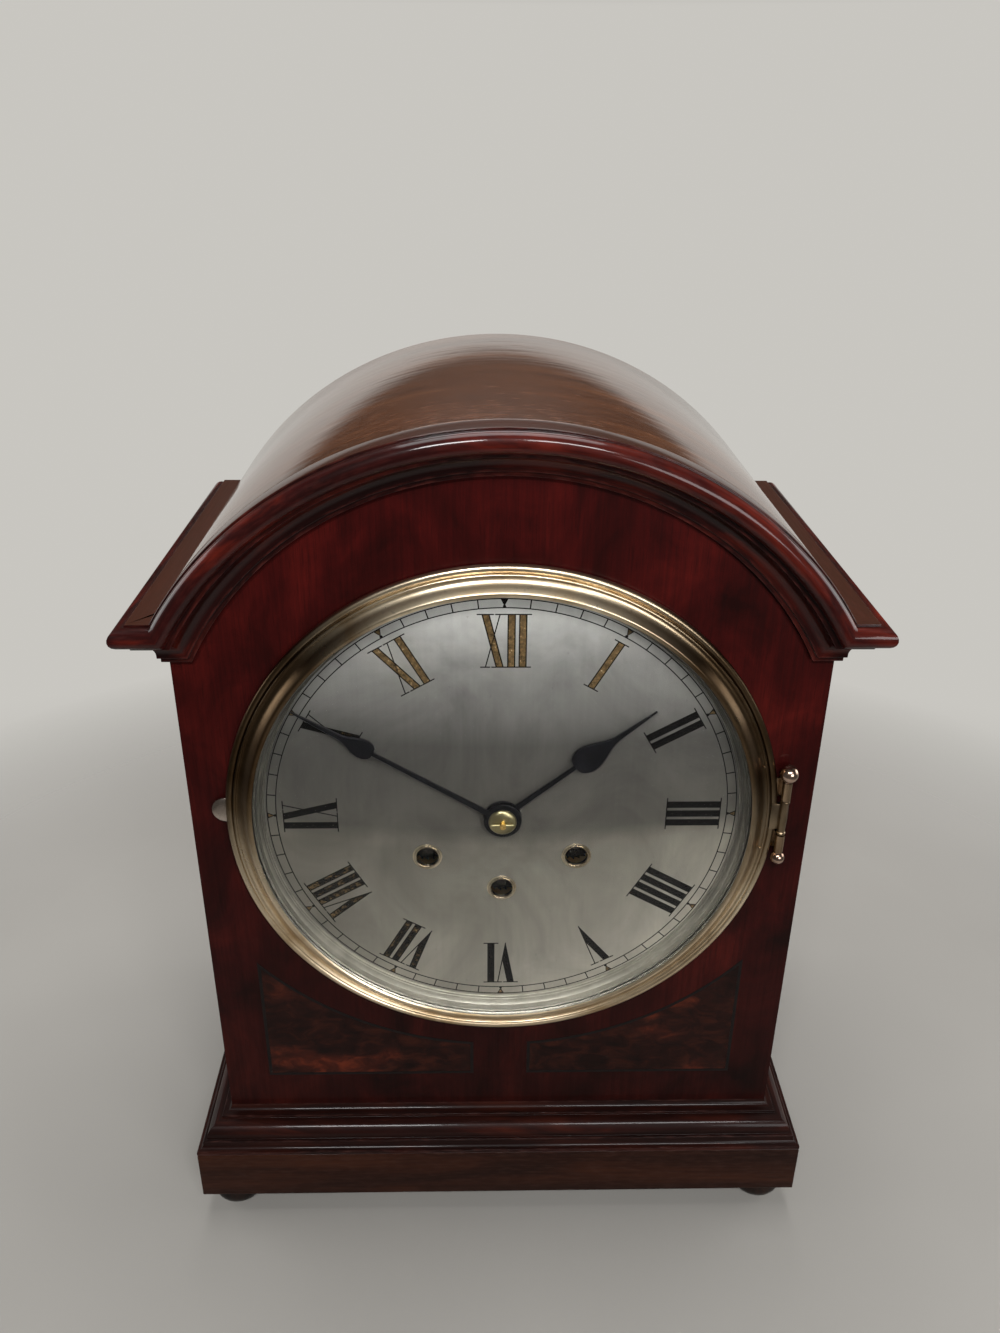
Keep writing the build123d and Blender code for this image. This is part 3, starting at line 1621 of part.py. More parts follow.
# Hammers: one for the hours and two for the quarters, side by side on the stud of the back plate
head_bottom = gong_rod_radius + hammer_lift_gap - gong_drop
head_at = (hammer_head_x, head_bottom + hammer_head_height / 2)
arm_length = math.dist(hammer_at, head_at)
arm_angle = bearing(hammer_at, head_at)
for depth, name in zip(gong_depths, ("hour_hammer", "low_quarter_hammer", "high_quarter_hammer")):
    with BuildPart() as hammer:
        with BuildSketch(facing(depth + hammer_arm_width / 2)):
            with Locations(Location((*hammer_at, 0), (0, 0, arm_angle))):
                Rectangle(arm_length, hammer_arm_width, align=(Align.MIN, Align.CENTER))
        extrude(amount=hammer_arm_width)
        add_disc(hammer_at, hammer_hub_radius, depth - hub_half, depth + hub_half)
        with Locations((head_at[0], dial_y + depth, dial_z + head_bottom)):
            Cylinder(
                hammer_head_radius,
                hammer_head_height,
                align=(Align.CENTER, Align.CENTER, Align.MIN),
            )
        add_disc(
            hammer_at, hammer_stud_radius + running_gap, depth - hub_half, depth + hub_half, Mode.SUBTRACT
        )
    save(hammer, name)
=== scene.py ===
import math

import bmesh
import bpy
from mathutils import Matrix, Vector


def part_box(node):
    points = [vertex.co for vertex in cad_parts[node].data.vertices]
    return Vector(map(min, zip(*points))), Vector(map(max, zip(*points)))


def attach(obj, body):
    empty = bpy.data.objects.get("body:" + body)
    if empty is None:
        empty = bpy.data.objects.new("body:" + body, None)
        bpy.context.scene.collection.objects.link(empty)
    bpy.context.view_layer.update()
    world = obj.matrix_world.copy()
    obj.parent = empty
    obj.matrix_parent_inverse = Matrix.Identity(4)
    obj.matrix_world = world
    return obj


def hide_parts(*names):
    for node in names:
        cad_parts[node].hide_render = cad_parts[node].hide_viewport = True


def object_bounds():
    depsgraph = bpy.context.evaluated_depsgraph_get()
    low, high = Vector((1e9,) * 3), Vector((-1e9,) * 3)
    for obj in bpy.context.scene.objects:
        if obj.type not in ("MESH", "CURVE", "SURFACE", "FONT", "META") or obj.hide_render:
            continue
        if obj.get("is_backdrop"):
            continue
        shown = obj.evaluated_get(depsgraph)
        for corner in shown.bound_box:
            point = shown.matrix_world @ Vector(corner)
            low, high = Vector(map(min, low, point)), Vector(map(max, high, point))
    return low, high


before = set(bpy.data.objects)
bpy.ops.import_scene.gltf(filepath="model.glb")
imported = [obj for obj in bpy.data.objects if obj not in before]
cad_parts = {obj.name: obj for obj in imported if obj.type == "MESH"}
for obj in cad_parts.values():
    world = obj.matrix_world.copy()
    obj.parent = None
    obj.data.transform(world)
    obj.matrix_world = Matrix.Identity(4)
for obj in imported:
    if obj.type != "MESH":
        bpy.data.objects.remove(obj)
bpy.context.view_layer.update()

# Studio: a pale matt floor that fades into a room, pale behind the clock and dim before and above it.
# Two small soft boxes hang over the front; panels in front, behind, overhead and at the sides fill in.
# The camera looks down on the clock from the front.
floor_radius = 0.62
floor_fade = (0.34, 0.60)
floor_colour, floor_shade = (0.31, 0.298, 0.277, 1), (0.275, 0.264, 0.245, 1)
horizon, ceiling, ground = (0.58, 0.565, 0.53, 1), (0.05, 0.033, 0.022, 1), (0.20, 0.195, 0.18, 1)
room_front, open_ceiling = (0.16, 0.16, 0.16, 1), (0.34, 0.33, 0.31, 1)
camera_place = (-0.0109, -0.47845, 0.49935)
camera_pitch, camera_yaw, camera_roll = 0.4632, 0.0234, 0.0086
photo_height, focal_pixels, film = 1333, 1099.7, 36.0

bpy.context.scene.view_settings.view_transform = "Standard"


class NodeWork:
    """Builds the nodes of a tree. An input takes a value, a socket or the first output of a node."""

    def __init__(self, tree):
        self.tree = tree
        self.nodes = tree.nodes

    def feed(self, socket, given):
        if isinstance(given, bpy.types.Node):
            given = given.outputs[0]
        if isinstance(given, bpy.types.NodeSocket):
            self.tree.links.new(given, socket)
        else:
            socket.default_value = given

    def add(self, kind, given=None, **settings):
        """A new node with its settings, and with its inputs given by name or number."""
        node = self.nodes.new(kind)
        for setting, value in settings.items():
            setattr(node, setting, value)
        for name, value in (given or {}).items():
            self.feed(node.inputs[name], value)
        return node


class Finish(NodeWork):
    """The nodes of a material or of the room: patterns worked out from each other and given to a shader."""

    def __init__(self, holder):
        holder.use_nodes = True
        super().__init__(holder.node_tree)
        self.holder = holder
        self.shader = self.nodes.get("Principled BSDF") or self.nodes["Background"]

    def give(self, name, value):
        self.feed(self.shader.inputs[name], value)

    def coords(self, kind="Object"):
        return self.add("ShaderNodeTexCoord").outputs[kind]

    def axes(self, coords):
        """The X, Y and Z of coordinates."""
        return self.add("ShaderNodeSeparateXYZ", {"Vector": coords}).outputs

    def length(self, vector):
        return self.add("ShaderNodeVectorMath", {0: vector}, operation="LENGTH").outputs["Value"]

    def stretch(self, coords, scale, place=(0, 0, 0)):
        """Coordinates stretched along the grain of a surface."""
        return self.add("ShaderNodeMapping", {"Vector": coords, "Scale": scale, "Location": place})

    def cloud(self, coords, scale=1.0, detail=4.0, rough=0.55, warp=0.0):
        """A noise between 0 and 1 that drifts over the surface."""
        given = {"Vector": coords, "Scale": scale, "Detail": detail, "Roughness": rough, "Distortion": warp}
        return self.add("ShaderNodeTexNoise", given)

    def grade(self, value, *stops):
        """Colours along a value, from (position, colour) stops."""
        ramp = self.add("ShaderNodeValToRGB", {"Fac": value})
        elements = ramp.color_ramp.elements
        while len(elements) < len(stops):
            elements.new(0.5)
        for element, (position, colour) in zip(elements, stops):
            element.position = position
            element.color = colour
        return ramp

    def spread(self, value, low, high, to_low, to_high):
        """A value moved from one range to another, held at its ends."""
        return self.add("ShaderNodeMapRange", dict(enumerate((value, low, high, to_low, to_high))))

    def join(self, kind, *values):
        """Values put together by arithmetic of the given kind."""
        return self.add("ShaderNodeMath", dict(enumerate(values)), operation=kind)

    def mix(self, share, first, second, kind="MIX"):
        """A share of the second colour over the first."""
        given = {0: share, 6: first, 7: second}
        return self.add("ShaderNodeMix", given, data_type="RGBA", blend_type=kind).outputs[2]

    def shade(self, colour, by, share=1.0):
        """A colour made darker or lighter by another."""
        return self.mix(share, colour, by, "MULTIPLY")

    def relief(self, height, strength, depth, name="Normal"):
        """Puts a height as a bump on a normal of the shader."""
        given = {"Strength": strength, "Distance": depth, "Height": height}
        self.give(name, self.add("ShaderNodeBump", given))

    def clear(self, share):
        """Lets a share of the light through the surface."""
        see_through = self.add("ShaderNodeBsdfTransparent")
        either = self.add("ShaderNodeMixShader", {0: share, 1: self.shader, 2: see_through})
        self.feed(self.nodes["Material Output"].inputs["Surface"], either)


def new_finish(name):
    return Finish(bpy.data.materials.new(name))


def grey(level):
    return (level, level, level, 1)


floor_paint = new_finish("floor_paint")
coords = floor_paint.coords()
drift = floor_paint.cloud(coords, scale=3.0, detail=3.0)
floor_paint.give("Base Color", floor_paint.grade(drift, (0.3, floor_shade), (0.7, floor_colour)))
floor_paint.give("Roughness", 0.8)
floor_paint.give("Specular IOR Level", 0.1)
floor_paint.clear(floor_paint.spread(floor_paint.length(coords), *floor_fade, 0, 1))
disc = bmesh.new()
bmesh.ops.create_circle(disc, cap_ends=True, segments=96, radius=floor_radius)
floor_mesh = bpy.data.meshes.new("studio_floor")
disc.to_mesh(floor_mesh)
disc.free()
floor_mesh.materials.append(floor_paint.holder)
floor = bpy.data.objects.new("studio_floor", floor_mesh)
bpy.context.scene.collection.objects.link(floor)
floor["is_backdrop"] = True

room = Finish(bpy.data.worlds.new("studio_room"))
bpy.context.scene.world = room.holder
way = room.axes(room.coords("Generated"))
rise = room.spread(way["Z"], -1, 1, 0, 1)
dim_sky = room.grade(rise, (0.16, ground), (0.28, horizon), (0.54, horizon), (0.575, ceiling))
open_sky = room.grade(rise, (0.16, ground), (0.28, horizon), (0.5, horizon), (0.8, open_ceiling))
sky = room.mix(room.spread(way["Y"], 0.35, 0.7, 0, 1), open_sky, dim_sky)
backwards = room.spread(way["Y"], 0.0, 0.6, 0, 1)
room.give("Color", room.shade(sky, room.grade(backwards, (0, room_front), (1, grey(1)))))
room.give("Strength", 1.0)

for name, place, aim_height, size, watts in (
    ("left_soft_box", (-0.21, -1.08, 1.22), 0.25, (0.27, 0.20), 9),
    ("right_soft_box", (0.29, -1.08, 1.22), 0.25, (0.35, 0.20), 7),
    ("front_panel", (0.60, -1.15, 0.50), 0.2, (0.5, 0.4), 5),
    ("overhead_panel", (0.0, 0.30, 1.9), 0.2, (1.3, 1.0), 22),
    ("left_panel", (-1.25, 0.2, 0.5), 0.2, (0.8, 0.6), 5),
    ("right_panel", (1.25, 0.2, 0.5), 0.2, (0.8, 0.6), 5),
    ("back_panel", (0.0, 1.2, 1.35), 0.2, (0.8, 0.5), 5),
):
    lamp = bpy.data.lights.new(name, "AREA")
    lamp.shape = "RECTANGLE"
    lamp.size, lamp.size_y = size
    lamp.energy = watts
    soft_box = bpy.data.objects.new(name, lamp)
    bpy.context.scene.collection.objects.link(soft_box)
    soft_box.location = place
    aim = Vector((0, 0, aim_height)) - Vector(place)
    soft_box.rotation_euler = aim.to_track_quat("-Z", "Y").to_euler()

camera_data = bpy.data.cameras.new("photo_camera")
camera_data.sensor_width = film
camera_data.lens = focal_pixels / photo_height * film
camera_data.clip_start = 0.01
camera = bpy.data.objects.new("photo_camera", camera_data)
bpy.context.scene.collection.objects.link(camera)
bpy.context.scene.camera = camera
flat_way = math.cos(camera_pitch)
look = Vector((math.sin(camera_yaw) * flat_way, math.cos(camera_yaw) * flat_way, -math.sin(camera_pitch)))
level_right = Vector((math.cos(camera_yaw), -math.sin(camera_yaw), 0))
level_up = level_right.cross(look)
right = level_right * math.cos(camera_roll) + level_up * math.sin(camera_roll)
up = level_up * math.cos(camera_roll) - level_right * math.sin(camera_roll)
camera.matrix_world = Matrix.Translation(camera_place) @ Matrix((right, up, -look)).transposed().to_4x4()

# Bun feet: four squashed wooden balls, turned on the lathe, stained nearly black and polished.
# Each is doweled into a corner of the plinth.
foot_radius = 0.013
pad_radius = 0.0092
pad_edge = 0.0006
foot_low, foot_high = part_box("bun_feet")


def skin(bm, rows, ring=True):
    """Joins each row of points to the next by faces; with ring, each row ends where it starts."""
    last = len(rows[0]) if ring else len(rows[0]) - 1
    for here, there in zip(rows, rows[1:]):
        for point in range(last):
            after = (point + 1) % len(here)
            bm.faces.new((here[point], here[after], there[after], there[point]))


def turn(bm, outline, centre, forward=False, steps=72, ring=False):
    """Turns (radius, height) points about an upright axis, or about one that comes forward from the dial."""
    rows = []
    for step in range(steps):
        angle = 2 * math.pi * step / steps
        across, along = math.sin(angle), math.cos(angle)
        row = []
        for radius, height in outline:
            if forward:
                spot = (radius * across, -height, radius * along)
            else:
                spot = (radius * across, radius * along, height)
            row.append(bm.verts.new(Vector(centre) + Vector(spot)))
        rows.append(row)
    skin(bm, rows + rows[:1], ring)


def arc(centre, radius, start, end, count):
    """Points on an arc, from one angle to another in degrees."""
    angles = [math.radians(start + (end - start) * step / count) for step in range(count + 1)]
    return [(centre[0] + radius * math.cos(a), centre[1] + radius * math.sin(a)) for a in angles]


def fit(name, bm, finish, body, slot, *stands_for, crease=32):
    """Makes a piece of a finished shape; it rides on a body and may stand for CAD nodes."""
    bmesh.ops.remove_doubles(bm, verts=bm.verts, dist=1e-7)
    bmesh.ops.recalc_face_normals(bm, faces=bm.faces)
    mesh = bpy.data.meshes.new(name)
    bm.to_mesh(mesh)
    bm.free()
    mesh.materials.append(finish.holder)
    mesh.shade_smooth()
    mesh.set_sharp_from_angle(angle=math.radians(crease))
    piece = bpy.data.objects.new(name, mesh)
    bpy.context.scene.collection.objects.link(piece)
    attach(piece, body)
    if stands_for:
        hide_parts(*stands_for)


def tone(red, green, blue):
    """A colour as a screen shows it, 0 to 255, turned into light."""
    parts = (red, green, blue)
    return tuple(((c / 255 + 0.055) / 1.055) ** 2.4 if c > 10 else c / 3294.6 for c in parts) + (1,)


def wood(
    name, shades, grain, figure, gloss, run=False, painted_foot_shade=None, flat_shade=None, polish=1.45, streak=0.1
):
    """Polished wood: clouded figure, fibres, dark pores and a clear polish that is a little wavy.
    Shades are vein, body and flare; grain and figure stretch the pattern along the board, or along a run,
    where marked hollows are darkened as grime and painted shade, marked arrises are paled as rubbed wear and
    painted highlight, and marked flats may have their own shade.
    A painted foot shade darkens the board downwards as painted shade, a higher index of the polish makes it
    mirror more, and a streak is how far broad bands of the grain ripple it."""
    finish = new_finish(name)
    coords = finish.add("ShaderNodeUVMap").outputs["UV"] if run else finish.coords()
    vein, body, flare = shades
    clouds = finish.cloud(finish.stretch(coords, figure), detail=5.0, rough=0.58, warp=0.7)
    fibres = finish.cloud(finish.stretch(coords, grain), detail=5.0, rough=0.6, warp=0.2)
    fine = [2.6 * number for number in grain]
    pores = finish.cloud(finish.stretch(coords, fine, place=(3, 5, 7)), detail=2.0)
    colour = finish.grade(clouds, (0.28, vein), (0.50, body), (0.74, flare))
    colour = finish.shade(colour, finish.grade(fibres, (0.34, grey(0.62)), (0.62, grey(1.12))), 0.6)
    colour = finish.mix(finish.spread(pores, 0.34, 0.42, 0.45, 0.0), colour, vein)
    # Painted shade: the board's colour is darkened towards its foot.
    if painted_foot_shade:
        dark_below, plain_above = 0.05, 0.38
        rise = finish.spread(finish.axes(finish.coords())["Z"], dark_below, plain_above, 0, 1)
        colour = finish.shade(colour, finish.grade(rise, (0, painted_foot_shade), (1, grey(1))))
    if run:
        arris = finish.add("ShaderNodeAttribute", attribute_name="arris")
        marks = finish.add("ShaderNodeSeparateColor", {"Color": arris}).outputs
        # Painted light: hollows are darkened as grime and painted shade, and arrises are paled in patches as
        # rubbed wear and painted highlight.
        edge_patches = finish.cloud(finish.stretch(coords, (130, 500, 1)), detail=4.0)
        rubbed = finish.join("MULTIPLY", marks["Green"], finish.spread(edge_patches, 0.46, 0.72, 0, 0.4))
        grime_and_shade = [0.45 * part for part in vein[:3]] + [1]
        bare = [1.25 * part + 0.02 for part in flare[:3]] + [1]
        colour = finish.mix(finish.join("MULTIPLY", marks["Red"], 0.5), colour, grime_and_shade)
        colour = finish.mix(rubbed, colour, bare)
        if flat_shade:
            colour = finish.mix(finish.join("MULTIPLY", marks["Blue"], 0.85), colour, flat_shade)
    finish.give("Base Color", colour)
    finish.give("Roughness", finish.spread(fibres, 0.3, 0.7, 0.46, 0.34))
    finish.give("Specular IOR Level", 0.06)
    finish.give("Coat Weight", gloss)
    finish.give("Coat Roughness", 0.09)
    finish.give("Coat IOR", polish)
    finish.relief(fibres, strength=0.10, depth=0.0003)
    broad = [0.3 * number for number in grain]
    bands = finish.cloud(finish.stretch(coords, broad, place=(1, 2, 3)), detail=2.0, rough=0.5)
    waves = finish.cloud(coords, scale=55.0, detail=2.0)
    ripple = finish.join("MULTIPLY_ADD", bands, streak, waves)
    finish.relief(ripple, strength=0.10, depth=0.0008, name="Coat Normal")
    return finish


foot_shades = (tone(8, 5, 4), tone(20, 11, 8), tone(36, 20, 14))
foot_wood = wood("ebonised_foot", foot_shades, grain=(300, 300, 40), figure=(40, 40, 14), gloss=0.5)
foot_middle = foot_high.z / 2
bulge = (foot_radius**2 - pad_radius**2 - foot_middle**2) / (2 * (foot_radius - pad_radius))
sweep = math.degrees(math.atan2(foot_middle - pad_edge, pad_radius - bulge))
foot_outline = [(0, 0), (pad_radius - pad_edge, 0)]
foot_outline += arc((bulge, foot_middle), foot_radius - bulge, -sweep, sweep, 20)
foot_outline += [(pad_radius - pad_edge, foot_high.z), (0, foot_high.z)]
feet = bmesh.new()
for x in (foot_low.x + foot_radius, foot_high.x - foot_radius):
    for y in (foot_low.y + foot_radius, foot_high.y - foot_radius):
        turn(feet, foot_outline, (x, y, 0), steps=64)
fit("turned_feet", feet, foot_wood, "case", "foot_wood", "bun_feet")

# Plinth: a square frame of brown mahogany with its grain along each board, mitred at the corners.
# Its arrises are rubbed a little round by polishing.
plinth_low, plinth_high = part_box("plinth")
plinth_wall = 0.036
arris_radius = 0.0009


def trace(steps, count=10):
    """Points along an outline of straight steps (x, y) and arcs (through x, y, to x, y)."""
    points = [Vector(steps[0][-2:])]
    for step in steps[1:]:
        here, there = points[-1], Vector(step[-2:])
        if len(step) == 4:
            through = Vector(step[:2])
            one, other = through - here, there - here
            cross = 2 * (one.x * other.y - one.y * other.x)
            centre_x = (other.y * one.length_squared - one.y * other.length_squared) / cross
            centre_y = (one.x * other.length_squared - other.x * one.length_squared) / cross
            centre = here + Vector((centre_x, centre_y))
            spin = (here - centre).angle_signed(there - centre)
            halfway = (here - centre).angle_signed(through - centre)
            if spin * halfway < 0:
                spin -= math.copysign(2 * math.pi, spin)
            for share in range(1, count):
                points.append(centre + Matrix.Rotation(-spin * share / count, 2) @ (here - centre))
        points.append(there)
    return points


def bent(start, middle, end, share):
    """A point on the curve that leaves its start and reaches its end in line with the middle."""
    return (1 - share) ** 2 * start + 2 * share * (1 - share) * middle + share**2 * end


def ease(points, radius, flat_above=None):
    """Rounds the arrises of a closed outline as polishing does.
    Gives x, y and how hollow, how worn and how flat each point is; the wood darkens hollows as grime and
    painted shade and pales worn points as rubbed wear and painted highlight."""
    sharp_from = math.radians(25)
    longest_cut = 0.42
    hollow_reach, full_hollow = 0.0018, 1.2
    arris_reach, full_arris = 0.0005, 1.3
    eased = []
    for index, point in enumerate(points):
        before, after = points[index - 1], points[(index + 1) % len(points)]
        into, out = point - before, after - point
        if into.length < 1e-9 or out.length < 1e-9:
            continue
        if abs(into.angle_signed(out)) < sharp_from:
            eased.append(point)
            continue
        cut = min(radius, longest_cut * into.length, longest_cut * out.length)
        start, end = point - into.normalized() * cut, point + out.normalized() * cut
        eased += [bent(start, point, end, share) for share in (0, 0.25, 0.5, 0.75, 1)]
    area = sum(a.x * b.y - a.y * b.x for a, b in zip(eased, eased[1:] + eased[:1]))
    bends = []
    for index, point in enumerate(eased):
        into, out = point - eased[index - 1], eased[(index + 1) % len(eased)] - point
        bends.append(-into.angle_signed(out) * math.copysign(1, area))
    marked = []
    for point in eased:
        near = [(bend, (other - point).length) for other, bend in zip(eased, bends)]
        hollow = sum(max(0, -bend) for bend, gap in near if gap < hollow_reach)
        worn = sum(max(0, bend) for bend, gap in near if gap < arris_reach)
        flat = 1 if flat_above is not None and point.y > flat_above else 0
        marked.append((point.x, point.y, min(1, hollow / full_hollow), min(1, worn / full_arris), flat))
    return marked


def run_of(bm, stations, outline, closed=False):
    """Joins copies of a closed outline at a row of stations, each of which puts an (x, y) point in its place.
    The pattern's u follows the run and its v goes round the outline; the marks are kept on the points."""
    marks = bm.verts.layers.float_color.new("arris")
    pattern = bm.loops.layers.uv.new("run")
    rows = []
    for place in stations:
        row = []
        for x, y, hollow, worn, flat in outline:
            corner = bm.verts.new(place(x, y))
            corner[marks] = (hollow, worn, flat, 1)
            row.append(corner)
        rows.append(row)
    if closed:
        rows.append(rows[0])
    count = len(outline)
    around = [0.0]
    for index in range(count):
        around.append(around[-1] + math.dist(outline[index][:2], outline[(index + 1) % count][:2]))
    along = 0.0
    for here, there in zip(rows, rows[1:]):
        length = max((there[point].co - here[point].co).length for point in range(count))
        for point in range(count):
            after = (point + 1) % count
            face = bm.faces.new((here[point], there[point], there[after], here[after]))
            low, high = around[point], around[point + 1]
            places = ((along, low), (along + length, low), (along + length, high), (along, high))
            for loop, spot in zip(face.loops, places):
                loop[pattern].uv = spot
        along += length
    if not closed:
        bm.faces.new(rows[0])
        bm.faces.new(reversed(rows[-1]))


def plan_corner(x, y, way_x, way_y, base):
    """A station at a corner of a plan: its points go outwards along both ways, and upwards from a base."""
    return lambda out, rise: (x + way_x * out, y + way_y * out, base + rise)


plinth_shades = (tone(24, 11, 7), tone(38, 18, 11), tone(60, 30, 17))
plinth_wood = wood(
    "plinth_mahogany", plinth_shades, grain=(14, 620, 1), figure=(7, 50, 1), gloss=0.12, run=True
)
plinth_height = plinth_high.z - plinth_low.z
board_corners = ((-plinth_wall, 0), (0, 0), (0, plinth_height), (-plinth_wall, plinth_height))
plinth_run = bmesh.new()
run_of(
    plinth_run,
    [
        plan_corner(plinth_low.x, plinth_high.y, -1, 1, plinth_low.z),
        plan_corner(plinth_low.x, plinth_low.y, -1, -1, plinth_low.z),
        plan_corner(plinth_high.x, plinth_low.y, 1, -1, plinth_low.z),
        plan_corner(plinth_high.x, plinth_high.y, 1, 1, plinth_low.z),
    ],
    ease([Vector(corner) for corner in board_corners], arris_radius),
    closed=True,
)
fit("plinth_frame", plinth_run, plinth_wood, "case", "case_mahogany", "plinth")

# Base moulding: a run of dark mahogany planted round the foot of the case: cove, quarter round and fillets.
# It is glued to the front and the sides and mitred at the two front corners.
front_low, front_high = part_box("case_front")
back_y = plinth_high.y
board_y = front_low.y
case_half = front_high.x
projection = plinth_high.x - case_half
moulding_height = 0.018
top_cove = 0.0035
top_fillet, top_fillet_height = 0.0010, 0.0013
quarter_round = 0.0069
low_fillet, low_fillet_height = 0.0015, 0.0014
polish_radius = 0.0004

half_bend = math.sqrt(0.5)
fillet_out, fillet_rise = top_cove + top_fillet, moulding_height - top_cove
round_out = fillet_out + quarter_round
round_rise = fillet_rise - top_fillet_height - quarter_round
low_out = round_out + low_fillet
low_cove = projection - low_out
foot_rise = round_rise - low_fillet_height - low_cove
base_outline = [
    (0, moulding_height),
    (top_cove * (1 - half_bend), fillet_rise + top_cove * (1 - half_bend), top_cove, fillet_rise),
    (fillet_out, fillet_rise),
    (fillet_out, fillet_rise - top_fillet_height),
    (fillet_out + quarter_round * half_bend, round_rise + quarter_round * half_bend, round_out, round_rise),
    (low_out, round_rise),
    (low_out, round_rise - low_fillet_height),
    (low_out + low_cove * (1 - half_bend), foot_rise + low_cove * (1 - half_bend), projection, foot_rise),
    (projection, 0),
    (0, 0),
]
base_shades = (tone(22, 9, 7), tone(34, 13, 10), tone(62, 25, 16))
base_wood = wood("base_mahogany", base_shades, grain=(16, 620, 1), figure=(16, 90, 1), gloss=0.18, run=True)


def case_corners(base):
    """Stations for a run along the left, the front and the right of the case, at the height of a base."""
    return [
        plan_corner(-case_half, back_y, -1, 0, base),
        plan_corner(-case_half, board_y, -1, -1, base),
        plan_corner(case_half, board_y, 1, -1, base),
        plan_corner(case_half, back_y, 1, 0, base),
    ]


base_run = bmesh.new()
run_of(base_run, case_corners(plinth_high.z), ease(trace(base_outline), polish_radius))
fit("base_run", base_run, base_wood, "case", "case_mahogany", "base_moulding", crease=40)

# Front and sides: boards of deep red mahogany with upright grain, french polished until they shine.
# The front is one arched board with the round opening for the dial; the sides stand behind it.
front_shades = (tone(31, 8, 7), tone(56, 12, 11), tone(80, 19, 16))
# The front and the sides take painted shade towards their foot.
front_wood = wood(
    "front_mahogany",
    front_shades,
    grain=(760, 760, 26),
    figure=(34, 34, 20),
    gloss=0.08,
    painted_foot_shade=(0.42, 0.80, 0.70, 1),
)
side_wood = wood(
    "side_mahogany",
    front_shades,
    grain=(620, 620, 22),
    figure=(26, 26, 7),
    gloss=0.25,
    painted_foot_shade=(0.55, 0.80, 0.75, 1),
)


def dress(finish, *names):
    """Gives CAD nodes a finish."""
    for name in names:
        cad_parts[name].data.materials.clear()
        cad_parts[name].data.materials.append(finish.holder)


dress(front_wood, "case_front")
dress(side_wood, "case_sides")

# Burr panels: two sheets of burr veneer, let flush into the front under the dial, with a hollow arc on top.
# A line of dark stringing runs round each of them.
panel_low, panel_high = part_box("burr_panels")
panel_inner = 0.013
panel_arc_radius = 0.150
panel_arc_rise = 0.019
panel_arc_steps = 32
string_width = 0.0015
string_proud = 0.00006
dial_low, dial_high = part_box("dial_plate")
dial_y = dial_low.y
dial_z = (dial_low.z + dial_high.z) / 2

burr = new_finish("burr_veneer")
coords = burr.coords()
knots = burr.cloud(burr.stretch(coords, (1, 1, 1.7)), scale=95.0, detail=6.0, rough=0.6, warp=0.8)
patch = burr.cloud(burr.stretch(coords, (1, 1, 2.0)), scale=21.0, detail=3.0, rough=0.5, warp=0.5)
veneer = burr.grade(knots, (0.32, tone(21, 8, 6)), (0.50, tone(34, 13, 9)), (0.70, tone(56, 24, 15)))
glow = burr.grade(patch, (0.40, grey(0.70)), (0.52, grey(1.0)), (0.66, (2.7, 2.0, 1.5, 1)))
burr.give("Base Color", burr.shade(veneer, glow))
burr.give("Roughness", burr.spread(knots, 0.3, 0.7, 0.46, 0.34))
burr.give("Specular IOR Level", 0.06)
burr.give("Coat Weight", 0.15)
burr.give("Coat Roughness", 0.06)
burr.relief(knots, strength=0.08, depth=0.0003)
dress(burr, "burr_panels")

stringing = new_finish("ebony_stringing")
grain = stringing.cloud(stringing.coords(), scale=420.0, detail=4.0)
stringing.give("Base Color", stringing.grade(grain, (0.3, tone(6, 3, 3)), (0.7, tone(20, 9, 8))))
stringing.give("Roughness", stringing.spread(grain, 0.3, 0.7, 0.45, 0.35))
stringing.give("Specular IOR Level", 0.2)


def panel_outline(side, inset):
    """A panel's outline drawn in by an inset: along the foot, up the outer edge and back along the arc."""
    inner, outer = panel_inner + inset, panel_high.x - inset
    radius = panel_arc_radius + inset
    points = [(inner, panel_low.z + inset), (outer, panel_low.z + inset)]
    for step in range(panel_arc_steps + 1):
        x = outer + (inner - outer) * step / panel_arc_steps
        points.append((x, dial_z + panel_arc_rise - math.sqrt(radius**2 - x**2)))
    return [(side * x, z) for x, z in points]


strings = bmesh.new()
for side in (-1, 1):
    edges = (panel_outline(side, 0.0), panel_outline(side, string_width))
    (front_out, front_in), (back_out, back_in) = [
        [[strings.verts.new((x, y, z)) for x, z in edge] for edge in edges]
        for y in (panel_low.y - string_proud, panel_high.y)
    ]
    skin(strings, [front_out, front_in, back_in, back_out, front_out])
fit("panel_stringing", strings, stringing, "case", "burr_veneer")

# Cornice: the crowning moulding of red mahogany: a flat ledge, a rounded nose, a neck, a cove and a bead.
# It runs back along both sides and breaks into an arch over the dial, mitred where it turns.
roof_low, roof_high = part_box("roof_shell")
ledge_z = roof_low.z
arch_half = roof_high.x
crown = roof_high.z - ledge_z
arch_radius = (arch_half**2 + crown**2) / (2 * crown)
arch_z = roof_high.z - arch_radius
cornice_out, cornice_height = 0.0175, 0.0205
ledge_out = 0.0118
ledge_flat = -0.0002
nose_radius, nose_drop = 0.0042, 0.0050
neck_out, neck_height, neck_step = 0.0112, 0.0026, 0.0014
cornice_cove = 0.0060
bead_step, bead_out = 0.0012, 0.0026
arch_stations = 120

